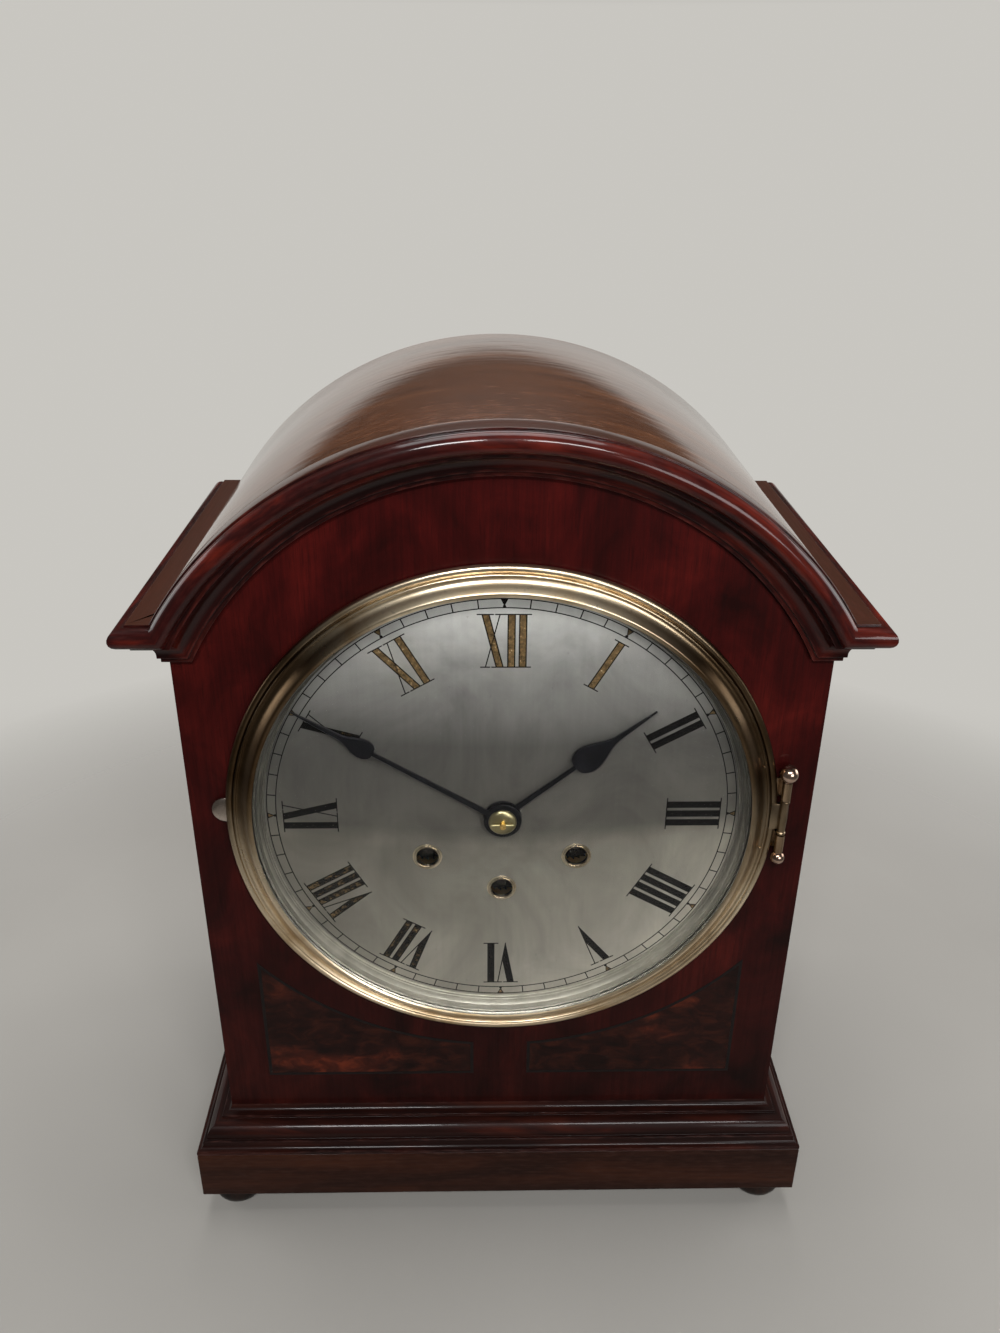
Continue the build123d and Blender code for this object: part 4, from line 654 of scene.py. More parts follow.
nose_out = cornice_out - nose_radius
nose_top = -nose_drop + math.sqrt(nose_radius**2 - (nose_out - ledge_out) ** 2)
nose_foot = -nose_drop - math.sqrt(nose_radius**2 - (nose_out - neck_out) ** 2)
neck_foot = nose_foot - neck_height
cove_out = neck_out - neck_step
cove_in, cove_foot = cove_out - cornice_cove, neck_foot - cornice_cove
cornice_outline = [
    (0, 0),
    (ledge_out, 0),
    (ledge_out, nose_top),
    (cornice_out, -nose_drop, neck_out, nose_foot),
    (neck_out, neck_foot),
    (cove_out, neck_foot),
    (cove_out - cornice_cove * half_bend, neck_foot - cornice_cove * (1 - half_bend), cove_in, cove_foot),
    (cove_in, cove_foot - bead_step),
    (bead_out, cove_foot - bead_step),
    (bead_out, -cornice_height),
    (0, -cornice_height),
]


def mitre_x(rise):
    """How far out the arch meets the level run, for a point that lies this far above the ledge."""
    return math.sqrt((arch_radius + rise) ** 2 - (ledge_z + rise - arch_z) ** 2)


def mitre_station(side):
    return lambda out, rise: (side * mitre_x(rise), board_y - out, ledge_z + rise)


def arch_station(share):
    """A station on the arch, from -1 at the left mitre to 1 at the right one."""

    def place(out, rise):
        radius = arch_radius + rise
        angle = share * math.atan2(mitre_x(rise), ledge_z + rise - arch_z)
        return (radius * math.sin(angle), board_y - out, arch_z + radius * math.cos(angle))

    return place


cornice_shades = (tone(26, 7, 6), tone(44, 10, 9), tone(96, 28, 17))
cornice_wood = wood(
    "cornice_mahogany",
    cornice_shades,
    grain=(16, 620, 1),
    figure=(22, 80, 1),
    gloss=0.55,
    run=True,
    flat_shade=tone(58, 32, 22),
)
over_dial = [arch_station(2 * step / arch_stations - 1) for step in range(1, arch_stations)]
level_run = case_corners(ledge_z)
cornice_run = bmesh.new()
run_of(
    cornice_run,
    [*level_run[:2], mitre_station(-1), *over_dial, mitre_station(1), *level_run[2:]],
    ease(trace(cornice_outline, count=12), polish_radius, flat_above=ledge_flat),
)
fit("cornice_run", cornice_run, cornice_wood, "case", "case_mahogany", "cornice", crease=40)

# Roof: a thin shell bent over the arch and veneered in brown mahogany, with its grain round the bend.
# It is glued down on the sides and behind the cornice, and its polish is streaked by the grain.
roof_thickness = 0.006
roof_arris = 0.0003
roof_stations = 96
roof_shades = (tone(50, 25, 13), tone(80, 45, 25), tone(106, 64, 36))
roof_wood = wood(
    "roof_mahogany",
    roof_shades,
    grain=(9, 520, 1),
    figure=(5, 48, 1),
    gloss=1.0,
    run=True,
    polish=1.7,
    streak=1.0,
)
roof_corners = [(roof_low.y, 0), (roof_high.y, 0)]
roof_corners += [(roof_high.y, -roof_thickness), (roof_low.y, -roof_thickness)]


def roof_station(share):
    """A station round the bend of the roof, from -1 at its left foot to 1 at its right one."""

    def place(y, rise):
        radius = arch_radius + rise
        angle = share * math.acos((ledge_z - arch_z) / radius)
        return (radius * math.sin(angle), y, arch_z + radius * math.cos(angle))

    return place


roof_bend = bmesh.new()
run_of(
    roof_bend,
    [roof_station(2 * step / roof_stations - 1) for step in range(roof_stations + 1)],
    ease([Vector(corner) for corner in roof_corners], roof_arris),
)
fit("roof_bend", roof_bend, roof_wood, "case", "roof_mahogany", "roof_shell")

# Inside boards: the floor, the seat board of the movement and the back door are plain boards, oiled and
# hardly polished. The floor lies on the plinth, the seat board is housed in the sides, the door is hinged.
inner_shades = (tone(96, 62, 38), tone(146, 104, 68), tone(176, 134, 92))
door_shades = (tone(84, 46, 28), tone(126, 78, 50), tone(156, 106, 70))
inner_wood = wood("oiled_board", inner_shades, grain=(8, 200, 200), figure=(4, 45, 45), gloss=0.05)
door_wood = wood("oiled_door", door_shades, grain=(200, 200, 8), figure=(36, 36, 5), gloss=0.12)
dress(inner_wood, "case_floor", "seat_board")
dress(door_wood, "back_door")

# Door fittings: two brass butt hinges on the right and a brass turn knob on the left of the door.
# The leaves are screwed on with slotted screws, and the knob is turned and lacquered.
screw_radius, screw_height, slot_width = 0.0019, 0.0005, 0.0005
head_taper = 0.84
screw_seed = 7
leaf_thickness, leaf_width, leaf_half_height = 0.0012, 0.0085, 0.00585
leaf_pitch = 0.012


def brass(name, pale, dark, rough, scale=120.0, lathe_lines=False, painted_dial_reflection=None, painted_flank=None):
    """Brass that was polished once: browner where it isn't rubbed, with fine scratches or lines of the lathe.
    A painted dial reflection is a radius and a depth: nearer to the dial's axis and farther back the brass is
    painted silver, a painted reflection of the silvered dial.
    A shade for the sides is painted shade that the brass takes on at both sides of the dial, where it would
    reflect the dim room, and how high its middle lies."""
    finish = new_finish(name)
    coords = finish.coords()
    tarnish = finish.cloud(coords, scale=scale * 0.3, detail=5.0, rough=0.6, warp=0.6)
    specks = finish.cloud(coords, scale=scale * 9, detail=3.0)
    radius = finish.length(finish.stretch(coords, (1, 0, 1), place=(0, 0, -dial_z)))
    colour = finish.grade(tarnish, (0.34, dark), (0.60, pale))
    colour = finish.shade(colour, finish.grade(specks, (0.28, grey(0.55)), (0.40, grey(1))), 0.4)
    # Painted reflection: within the bore the brass is painted silver, as the silvered dial reflected in it.
    if painted_dial_reflection:
        inside = finish.join("LESS_THAN", radius, painted_dial_reflection[0])
        behind = finish.join("GREATER_THAN", finish.axes(coords)["Y"], painted_dial_reflection[1])
        colour = finish.mix(finish.join("MULTIPLY", inside, behind), colour, tone(206, 205, 198))
    # Painted shade: the brass is darkened at both sides of the dial, for the dim room it would reflect there.
    if painted_flank:
        painted_flank_shade, painted_flank_height = painted_flank
        arm = finish.stretch(coords, (1, 0, 1), place=(0, 0, -dial_z - painted_flank_height))
        sideways = finish.join("DIVIDE", finish.axes(arm)["X"], finish.length(arm))
        share = finish.join("MULTIPLY", sideways, sideways)
        colour = finish.shade(colour, finish.grade(share, (0.50, grey(1)), (0.93, painted_flank_shade)))
    finish.give("Base Color", colour)
    finish.give("Metallic", 1.0)
    finish.give("Roughness", finish.spread(tarnish, 0.35, 0.7, rough * 1.4, rough))
    if lathe_lines:
        scratches = finish.add("ShaderNodeTexNoise", {"W": radius, "Scale": 2600.0}, noise_dimensions="1D")
    else:
        scratches = finish.cloud(finish.stretch(coords, (6, 60, 60)), scale=scale * 0.5)
    finish.relief(scratches, strength=0.05, depth=0.0002)
    return finish


def start_tree(name, inputs):
    """Starts a node tree that makes a mesh from named inputs of given kinds; gives its work and inputs."""
    tree = bpy.data.node_groups.new(name, "GeometryNodeTree")
    tree.interface.new_socket("Geometry", in_out="OUTPUT", socket_type="NodeSocketGeometry")
    for label, kind in inputs.items():
        tree.interface.new_socket(label, in_out="INPUT", socket_type="NodeSocket" + kind)
    work = NodeWork(tree)
    return work, work.add("NodeGroupInput").outputs


def end_tree(work, instances, finish):
    """Makes the instances real, gives them their finish and ends the tree with them."""
    real = work.add("GeometryNodeRealizeInstances", {"Geometry": instances})
    painted = work.add("GeometryNodeSetMaterial", {"Geometry": real, "Material": finish})
    work.add("NodeGroupOutput", {"Geometry": painted})
    return work.tree


def screw_tree(name):
    """A node tree that puts slotted screw heads in a row, facing backwards, each turned to its own angle."""
    sizes = {"Head Radius": "Float", "Head Height": "Float", "Slot Size": "Vector"}
    row_inputs = {"Count": "Int", "Start": "Vector", "Step": "Vector"}
    work, given = start_tree(name, {**row_inputs, **sizes, "Finish": "Material"})
    row = work.add(
        "GeometryNodeMeshLine",
        {"Count": given["Count"], "Start Location": given["Start"], "Offset": given["Step"]},
    )
    top = work.add("ShaderNodeMath", {0: given["Head Radius"], 1: head_taper}, operation="MULTIPLY")
    head = work.add(
        "GeometryNodeMeshCone",
        {
            "Vertices": 32,
            "Radius Top": top,
            "Radius Bottom": given["Head Radius"],
            "Depth": given["Head Height"],
        },
    )
    slot = work.add("GeometryNodeMeshCube", {"Size": given["Slot Size"]})
    rise = work.add("ShaderNodeCombineXYZ", {"Z": given["Head Height"]})
    lifted = work.add("GeometryNodeTransform", {"Geometry": slot, "Translation": rise})
    slotted = work.add("GeometryNodeMeshBoolean", {0: head, 1: lifted}, operation="DIFFERENCE")
    angle = work.add("FunctionNodeRandomValue", {3: math.pi, "Seed": screw_seed}, data_type="FLOAT")
    facing = work.add("ShaderNodeCombineXYZ", {"X": -math.pi / 2, "Y": angle.outputs[1]})
    screws = work.add(
        "GeometryNodeInstanceOnPoints", {"Points": row, "Instance": slotted, "Rotation": facing}
    )
    return end_tree(work, screws, given["Finish"])


def grow(bm, name, tree, **values):
    """Adds the mesh that a node tree makes from its named inputs."""
    seed = bpy.data.objects.new(name, bpy.data.meshes.new(name))
    bpy.context.scene.collection.objects.link(seed)
    growth = seed.modifiers.new(name, "NODES")
    growth.node_group = tree
    for item in tree.interface.items_tree:
        if item.in_out == "INPUT":
            growth[item.identifier] = values[item.name.lower().replace(" ", "_")]
    bpy.context.view_layer.update()
    bm.from_mesh(bpy.data.meshes.new_from_object(seed.evaluated_get(bpy.context.evaluated_depsgraph_get())))
    bpy.data.objects.remove(seed)


fitting_brass = brass("fitting_brass", tone(206, 172, 108), tone(142, 108, 60), rough=0.26)
dress(fitting_brass, "back_door_hinges", "back_door_hinge_leaves", "back_door_latch")
hinge_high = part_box("back_door_hinges")[1]
leaf_low, leaf_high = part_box("back_door_hinge_leaves")
screw_y = back_y + leaf_thickness
hinge_levels = (leaf_low.z + leaf_half_height, leaf_high.z - leaf_half_height)
screw_row = screw_tree("hinge_screw_row")
screw_values = {
    "count": 2,
    "head_radius": screw_radius,
    "head_height": screw_height,
    "slot_size": (3 * screw_radius, slot_width, screw_height),
    "finish": fitting_brass.holder,
}
case_screws = bmesh.new()
for level in hinge_levels:
    row_start = (hinge_high.x - leaf_width / 2, screw_y, level - leaf_pitch)
    row_step = (0, 0, 2 * leaf_pitch)
    grow(case_screws, "case_screw_row", screw_row, start=row_start, step=row_step, **screw_values)
fit("case_leaf_screws", case_screws, fitting_brass, "case", "fitting_brass")
door_screws = bmesh.new()
row_start = (leaf_low.x + leaf_width / 2, screw_y, hinge_levels[0])
row_step = (0, 0, hinge_levels[1] - hinge_levels[0])
grow(door_screws, "door_screw_row", screw_row, start=row_start, step=row_step, **screw_values)
fit("door_leaf_screws", door_screws, fitting_brass, "door", "fitting_brass")

# Movement: two brass plates on turned pillars, with the barrels and wheels of three trains between them and
# the motion work before them. The arbors, pallets, screws and rods are of steel, the gong block of iron.
movement_brass = brass("movement_brass", tone(214, 178, 108), tone(164, 124, 66), rough=0.30)
wheel_brass = brass("wheel_brass", tone(222, 186, 112), tone(170, 128, 66), rough=0.24)


def steel(name, pale, dark, rough, scale=160.0):
    """Bright steel with fine scratches and a little brown staining."""
    finish = new_finish(name)
    coords = finish.coords()
    stain = finish.cloud(coords, scale=scale * 0.4, detail=5.0)
    finish.give("Base Color", finish.grade(stain, (0.34, dark), (0.62, pale)))
    finish.give("Metallic", 1.0)
    finish.give("Roughness", finish.spread(stain, 0.3, 0.7, rough * 1.4, rough))
    scratches = finish.cloud(finish.stretch(coords, (40, 40, 6)), scale=scale * 0.5)
    finish.relief(scratches, strength=0.06, depth=0.0002)
    return finish


bright_steel = steel("bright_steel", tone(186, 186, 188), tone(130, 126, 122), rough=0.30)
hammer_steel = steel("hammer_steel", tone(160, 160, 164), tone(104, 100, 98), rough=0.36)
oiled_steel = steel("oiled_steel", tone(56, 54, 52), tone(26, 25, 24), rough=0.22)
dress(movement_brass, "front_plate", "back_plate", "plate_pillars", "hour_wheel", "minute_wheel")
dress(movement_brass, "pendulum_cock", "pendulum_bob", "rating_nut")
dress(wheel_brass, "intermediate_wheel", "centre_wheel", "third_wheel", "escape_wheel")
for train in ("strike", "chime"):
    dress(wheel_brass, f"{train}_second_wheel", f"{train}_pin_wheel", f"{train}_fly")
for train in ("going", "strike", "chime"):
    dress(movement_brass, f"{train}_barrel")
    dress(oiled_steel, f"{train}_arbor")
dress(bright_steel, "pallets", "movement_screws", "cannon_pinion")
dress(bright_steel, "suspension_spring", "pendulum_rod", "gong_rods")
dress(hammer_steel, "hour_hammer", "low_quarter_hammer", "high_quarter_hammer")

gong_iron = new_finish("painted_iron")
coords = gong_iron.coords()
cast = gong_iron.cloud(coords, scale=700.0, detail=5.0)
chips = gong_iron.cloud(coords, scale=120.0, detail=4.0)
paint = gong_iron.grade(chips, (0.28, tone(84, 66, 54)), (0.34, tone(34, 34, 36)), (0.7, tone(46, 46, 48)))
gong_iron.give("Base Color", paint)
gong_iron.give("Roughness", gong_iron.spread(chips, 0.3, 0.6, 0.75, 0.5))
gong_iron.relief(cast, strength=0.35, depth=0.0006)
dress(gong_iron, "gong_block")

# Dial: a silvered brass disc, brushed upright and smudged over the years, on a spun brass pan behind the
# bezel;
# its silvering carries painted shade across its middle and painted reflection at its foot and top.
# The numerals are engraved and filled with black wax, which has fallen out of some and bares the brass.
dial_reach = 0.105
light_edge_sag = -0.9
side_light_half = 0.08
wax_proud = 0.00005
numeral_foot, numeral_head = 0.0712, 0.0950
stroke, hair, serif = 0.0033, 0.0005, 0.0005
bar_gap = 0.0013
vee_width, vee_point, cross_width = 0.0080, 0.52, 0.0092
overhang = 0.0018
rim, rim_edge = 0.00045, 0.00012
numerals = ("XII", "I", "II", "III", "IIII", "V", "VI", "VII", "VIII", "IX", "X", "XI")
wear_of = (0.95, 0.95, 0.12, 0.05, 0.34, 0.12, 0.28, 0.52, 0.54, 0.12, 0.42, 0.9)

silver = new_finish("silvered_dial")
coords = silver.coords()
place = silver.axes(coords)
brush = silver.cloud(silver.stretch(coords, (520, 520, 14)), detail=5.0, rough=0.6)
smudge = silver.cloud(silver.stretch(coords, (1, 1, 0.8)), scale=22.0, detail=6.0, rough=0.6, warp=0.9)
speck = silver.cloud(coords, scale=520.0, detail=2.0)
# Painted shade and painted reflection: the silvering is painted light at its foot and top and dark across its
# middle, with a curved edge, and in its lower part darker on the left and lighter on the right.
sag = silver.join("MULTIPLY", silver.join("MULTIPLY", place["X"], place["X"]), light_edge_sag)
level = silver.join("ADD", place["Z"], sag)
rise = silver.spread(level, dial_z - dial_reach, dial_z + dial_reach, 0, 1)
painted_light = silver.grade(
    rise,
    (0.0, tone(136, 132, 121)),
    (0.42, tone(97, 94, 85)),
    (0.46, tone(74, 72, 66)),
    (0.66, tone(70, 69, 65)),
    (0.84, tone(120, 119, 115)),
    (1.0, tone(184, 184, 179)),
)
across = silver.spread(place["X"], -side_light_half, side_light_half, 0, 1)
painted_side_light = silver.shade(painted_light, silver.grade(across, (0, grey(0.6)), (1, grey(1.35))))
colour = silver.mix(silver.spread(rise, 0.40, 0.48, 1, 0), painted_light, painted_side_light)
colour = silver.shade(colour, silver.grade(smudge, (0.30, grey(0.60)), (0.70, grey(1.25))), 0.8)
colour = silver.shade(colour, silver.grade(brush, (0.3, grey(0.75)), (0.7, grey(1.1))), 0.18)
colour = silver.shade(colour, silver.grade(speck, (0.22, grey(0.5)), (0.27, grey(1))), 0.4)
silver.give("Base Color", colour)
silver.give("Metallic", 0.4)
silver.give("Specular IOR Level", 0.3)
silver.give("Roughness", silver.spread(smudge, 0.3, 0.7, 0.52, 0.40))
silver.relief(brush, strength=0.05, depth=0.0002)
dress(silver, "dial_plate")
dress(brass("pan_brass", tone(180, 154, 126), tone(112, 90, 68), rough=0.20), "dial_ring")

wax = new_finish("engraved_wax")
coords = wax.coords()
wear = wax.add("ShaderNodeAttribute", attribute_name="wear").outputs["Fac"]
crumble = wax.cloud(coords, scale=420.0, detail=5.0, rough=0.65)
fleck = wax.cloud(coords, scale=800.0, detail=3.0)
fallen = wax.join("ADD", wear, wax.spread(crumble, 0.3, 0.7, -0.3, 0.3))
bare = wax.grade(fleck, (0.3, tone(50, 39, 23)), (0.66, tone(92, 74, 47)), (0.76, tone(150, 136, 108)))
colour = wax.mix(wax.spread(fallen, 0.55, 0.75, 0, 1), tone(8, 7, 7), bare)
colour = wax.mix(wax.spread(fleck, 0.68, 0.76, 0, 0.12), colour, tone(128, 120, 102))
wax.give("Base Color", colour)
wax.give("Roughness", wax.spread(fleck, 0.3, 0.7, 0.6, 0.45))
wax.give("Specular IOR Level", 0.05)
wax.relief(crumble, strength=0.2, depth=0.0002)


def drawn_in(points, distance):
    """A convex outline drawn in by a distance."""
    points = [Vector(point) for point in points]
    middle = sum(points, Vector((0, 0))) / len(points)
    lines = []
    for here, there in zip(points, points[1:] + points[:1]):
        along = (there - here).normalized()
        inwards = Vector((-along.y, along.x))
        if inwards.dot(middle - here) < 0:
            inwards.negate()
        lines.append((here + inwards * distance, along))
    drawn = []
    for (start, along), (other_start, other_along) in zip(lines[-1:] + lines[:-1], lines):
        gap = other_start - start
        turn_by = along.x * other_along.y - along.y * other_along.x
        drawn.append(start + along * ((gap.x * other_along.y - gap.y * other_along.x) / turn_by))
    return drawn


def engraved(bm, points, wear_share):
    """A wax-filled stroke that lies a hair proud of the dial, worn in its middle but not at its rim."""
    worn = bm.verts.layers.float_color.get("wear") or bm.verts.layers.float_color.new("wear")
    layers = [(points, dial_y, 0), (points, dial_y - wax_proud, 0)]
    if wear_share:
        layers.append((drawn_in(points, rim), dial_y - wax_proud, 0))
        layers.append((drawn_in(points, rim + rim_edge), dial_y - wax_proud, wear_share))
    rings = []
    for outline, y, share in layers:
        rings.append([bm.verts.new((x, y, z)) for x, z in outline])
        for corner in rings[-1]:
            corner[worn] = grey(share)
    bm.faces.new(rings[0])
    bm.faces.new(rings[-1])
    skin(bm, rings)


def slanted(head, foot, width):
    """A straight stroke between its middles at the head and at the foot of a numeral."""
    half = width / 2
    head_end = [(head - half, numeral_head), (head + half, numeral_head)]
    return head_end + [(foot + half, numeral_foot), (foot - half, numeral_foot)]


def letter(kind, x):
    """The thick and the thin strokes of a letter that starts at x, the ends at its head and at its foot that
    take serifs, and where it ends."""
    if kind == "I":
        middle, end = x + stroke / 2, x + stroke
        return [slanted(middle, middle, stroke)], [], [(x, end)], [(x, end)], end
    if kind == "V":
        point, end = x + vee_point * vee_width, x + vee_width
        share = 1 - stroke / vee_width
        crotch = (x + stroke + (point - x) * share, numeral_head + (numeral_foot - numeral_head) * share)
        thick = [(x, numeral_head), (x + stroke, numeral_head), crotch, (point, numeral_foot)]
        return [thick], [slanted(end - hair / 2, point, hair)], [(x, x + stroke), (end - hair, end)], [], end
    end = x + cross_width
    left, right = x + stroke / 2, end - stroke / 2
    heads = [(x, x + stroke), (right - hair / 2, right + hair / 2)]
    feet = [(left - hair / 2, left + hair / 2), (end - stroke, end)]
    return [slanted(left, right, stroke)], [slanted(right, left, hair)], heads, feet, end


def joined(ends):
    """Serifs over a row of ends: those that nearly touch share one."""
    rows = []
    for low, high in ends:
        if rows and low - overhang < rows[-1][1]:
            rows[-1][1] = high + overhang
        else:
            rows.append([low - overhang, high + overhang])
    return rows


numeral_mesh = bmesh.new()
for hour, (numeral, wear_share) in enumerate(zip(numerals, wear_of)):
    bars, hairs, heads, feet, x = [], [], [], [], 0.0
    for kind in numeral:
        thick, thin, tops, bottoms, end = letter(kind, x)
        bars += thick
        hairs += thin
        heads += tops
        feet += bottoms
        x = end + bar_gap
    middle = (x - bar_gap) / 2
    for ends, top in ((heads, numeral_head), (feet, numeral_foot + serif)):
        for low, high in joined(ends):
            hairs.append([(low, top), (high, top), (high, top - serif), (low, top - serif)])
    angle = math.radians(30 * hour)
    across, along = math.cos(angle), math.sin(angle)
    for shape, share in [(bar, wear_share) for bar in bars] + [(line, 0) for line in hairs]:
        turned = []
        for u, v in shape:
            turned.append(((u - middle) * across + v * along, dial_z - (u - middle) * along + v * across))
        engraved(numeral_mesh, turned, share)
fit("dial_numerals", numeral_mesh, wax, "case", "silvered_brass")

# Minute ring: two thin circles with sixty strokes between them and a small dart at each hour, which ends in
# a bead. All are engraved and filled with wax, which has fallen out of the darts, except at twelve.
ring_inner, ring_outer = 0.0977, 0.1016
ring_line = 0.00045
minute_width = 0.00050
dart_width, dart_length, dart_height = 0.0032, 0.0044, 1.4 * wax_proud
dart_head = (3, (-0.5, 0.58, 1.05), 0.25)
dart_bead = (8, (0.16, 0.22, 1), -0.27)
dart_neck = (4, (0.24, 0.08, 1), -0.02)
dart_wear = 1.7
dial_centre = (0, dial_y, dial_z)

circles = bmesh.new()
for radius in (ring_inner, ring_outer):
    inner, outer = radius - ring_line / 2, radius + ring_line / 2
    section = [(inner, 0), (inner, wax_proud), (outer, wax_proud), (outer, 0)]
    turn(circles, section, dial_centre, forward=True, steps=240, ring=True)
fit("minute_circles", circles, wax, "case", "silvered_brass")


def ring_tree(name, dart):
    """A node tree that puts marks round a circle, facing forward: strokes, or darts that point inwards."""
    inputs = {"Count": "Int", "Ring Radius": "Float", "Mark Size": "Vector", "Centre": "Vector"}
    work, given = start_tree(name, {**inputs, "Finish": "Material"})
    circle = work.add("GeometryNodeMeshCircle", {"Vertices": given["Count"], "Radius": given["Ring Radius"]})
    position = work.add("GeometryNodeInputPosition")
    outwards = work.add("FunctionNodeAlignRotationToVector", {"Vector": position}, axis="X")
    if dart:
        mark = work.add("GeometryNodeJoinGeometry")
        for corners, size, place in (dart_head, dart_bead, dart_neck):
            shape = work.add("GeometryNodeMeshCylinder", {"Vertices": corners, "Radius": 1.0, "Depth": 1.0})
            placing = {"Geometry": shape, "Scale": size, "Translation": (place, 0, 0)}
            work.feed(mark.inputs["Geometry"], work.add("GeometryNodeTransform", placing))
    else:
        mark = work.add("GeometryNodeMeshCube")
    marks = work.add(
        "GeometryNodeInstanceOnPoints",
        {"Points": circle, "Instance": mark, "Rotation": outwards, "Scale": given["Mark Size"]},
    )
    upright = {"Geometry": marks, "Rotation": (math.pi / 2, 0, 0), "Translation": given["Centre"]}
    return end_tree(work, work.add("GeometryNodeTransform", upright), given["Finish"])


mark_centre = (0, dial_y - wax_proud / 2, dial_z)
strokes = bmesh.new()
grow(
    strokes,
    "minute_strokes",
    ring_tree("minute_stroke_ring", False),
    count=60,
    ring_radius=(ring_inner + ring_outer) / 2,
    mark_size=(ring_outer - ring_inner, minute_width, wax_proud),
    centre=mark_centre,
    finish=wax.holder,
)
fit("minute_strokes", strokes, wax, "case", "silvered_brass")
darts = bmesh.new()
grow(
    darts,
    "hour_darts",
    ring_tree("hour_dart_ring", True),
    count=12,
    ring_radius=ring_outer - dart_length / 2,
    mark_size=(dart_length, dart_width, dart_height),
    centre=mark_centre,
    finish=wax.holder,
)
worn = darts.verts.layers.float_color.new("wear")
for corner in darts.verts:
    corner[worn] = grey(0)
darts.normal_update()
heads = []
for face in darts.faces:
    faces_forward = abs(face.normal.y) > 0.9 and face.calc_center_median().y < mark_centre[1]
    if faces_forward and len(face.verts) == 3:
        heads.append(face)
for middle in bmesh.ops.poke(darts, faces=heads)["verts"]:
    hour = round(math.degrees(math.atan2(middle.co.x, middle.co.z - dial_z)) / 30) % 12
    middle[worn] = grey(dart_wear if hour else 0)
fit("hour_darts", darts, wax, "case", "silvered_brass")

# Winding bushes: three eyelets of polished brass round the winding holes, each a flange with a rounded lip.
# They are turned on the lathe and pressed into the dial from the front.
bush_low, bush_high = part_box("winding_bushes")
bush_flange, bush_bore, bush_outer = 0.0066, 0.0049, 0.0057
flange_height, flange_edge = 0.00022, 0.0001
lip_width = 0.0010

polished_brass = brass("polished_brass", tone(214, 202, 178), tone(138, 122, 96), rough=0.13)
bush_rise = dial_y - bush_low.y
bush_back = bush_high.y - dial_y
lip_radius = lip_width / 2
bush_outline = [
    (bush_bore, -bush_back),
    *arc((bush_bore + lip_radius, bush_rise - lip_radius), lip_radius, 180, 0, 12),
    (bush_bore + lip_width, flange_height),
    (bush_flange - flange_edge, flange_height),
    (bush_flange, flange_height - flange_edge),
    (bush_flange, 0),
    (bush_outer, 0),
    (bush_outer, -bush_back),
]
bush_places = (
    (0, bush_low.z + bush_flange),
    (bush_low.x + bush_flange, bush_high.z - bush_flange),
    (bush_high.x - bush_flange, bush_high.z - bush_flange),
)
bushes = bmesh.new()
for x, z in bush_places:
    turn(bushes, bush_outline, (x, dial_y, z), forward=True, steps=64, ring=True)
fit("lipped_bushes", bushes, polished_brass, "case", "polished_brass", "winding_bushes")

# Slip ring: the silvered brass ring between the dial and the glass, turned with a bead at its foot, a groove
# and a long slope. It lies on the edge of the dial.
slip_low, slip_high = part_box("slip_ring")
slip_over, slip_width, slip_rim = 0.0008, 0.0037, 0.0009
slip_outer = slip_high.x + slip_over
slip_height = slip_high.y - slip_low.y

slip_silver = new_finish("silvered_slip_ring")
coords = slip_silver.coords()
smudge = slip_silver.cloud(coords, scale=60.0, detail=5.0, rough=0.6)
rise = slip_silver.spread(slip_silver.axes(coords)["Z"], dial_z - dial_reach, dial_z + dial_reach, 0, 1)
# Painted reflection: the ring is painted bright at its foot, darkest at its sides and lighter again at its
# top.
painted_reflection_levels = ((0.05, 1.0), (0.35, 0.6), (0.5, 0.34), (0.8, 0.4), (1.0, 0.8))
painted_reflection = slip_silver.grade(rise, *[(position, grey(level)) for position, level in painted_reflection_levels])
colour = slip_silver.grade(smudge, (0.30, tone(130, 127, 116)), (0.70, tone(168, 164, 150)))
slip_silver.give("Base Color", slip_silver.shade(colour, painted_reflection))
slip_silver.give("Metallic", 0.7)
slip_silver.give("Roughness", slip_silver.spread(smudge, 0.3, 0.7, 0.42, 0.30))
slip_silver.relief(slip_silver.cloud(coords, scale=900.0), strength=0.05, depth=0.0002)
slip_bead = ((0.00, 0.00), (0.00, 0.05), (0.03, 0.10), (0.10, 0.13), (0.17, 0.13), (0.22, 0.10))
slip_groove = ((0.26, 0.10), (0.30, 0.15), (0.36, 0.25), (0.40, 0.26), (0.43, 0.24), (0.46, 0.28))
slip_slope = ((0.72, 0.62), (0.76, 0.63), (0.79, 0.66), (0.97, 0.96), (1.00, 1.00))
slip_foot = slip_outer - slip_width
slip_outline = []
for out, rise in slip_bead + slip_groove + slip_slope:
    slip_outline.append((slip_foot + (slip_width - slip_rim) * out, slip_height * rise))
slip_outline += [(slip_outer, slip_height), (slip_outer, 0)]
slip = bmesh.new()
turn(slip, slip_outline, dial_centre, forward=True, steps=256, ring=True)
fit("turned_slip_ring", slip, slip_silver, "case", "silvered_brass", "slip_ring", crease=50)

# Hands: pear hands of steel, blued until they are nearly black, with their edges bevelled.
# The hour hand sits on its pipe, the minute hand on the cannon pinion under a domed brass collet.
hub_radius = 0.0082
stem_half, neck_half, shoulder_half, point_half = 0.0013, 0.0009, 0.0012, 0.00025
bulb_taper, bulb_fullness = 2.6, 0.8
hub_steps, bulb_steps, taper_steps = 32, 12, 20
hand_bevel, widest_bevel = 0.00025, 0.45

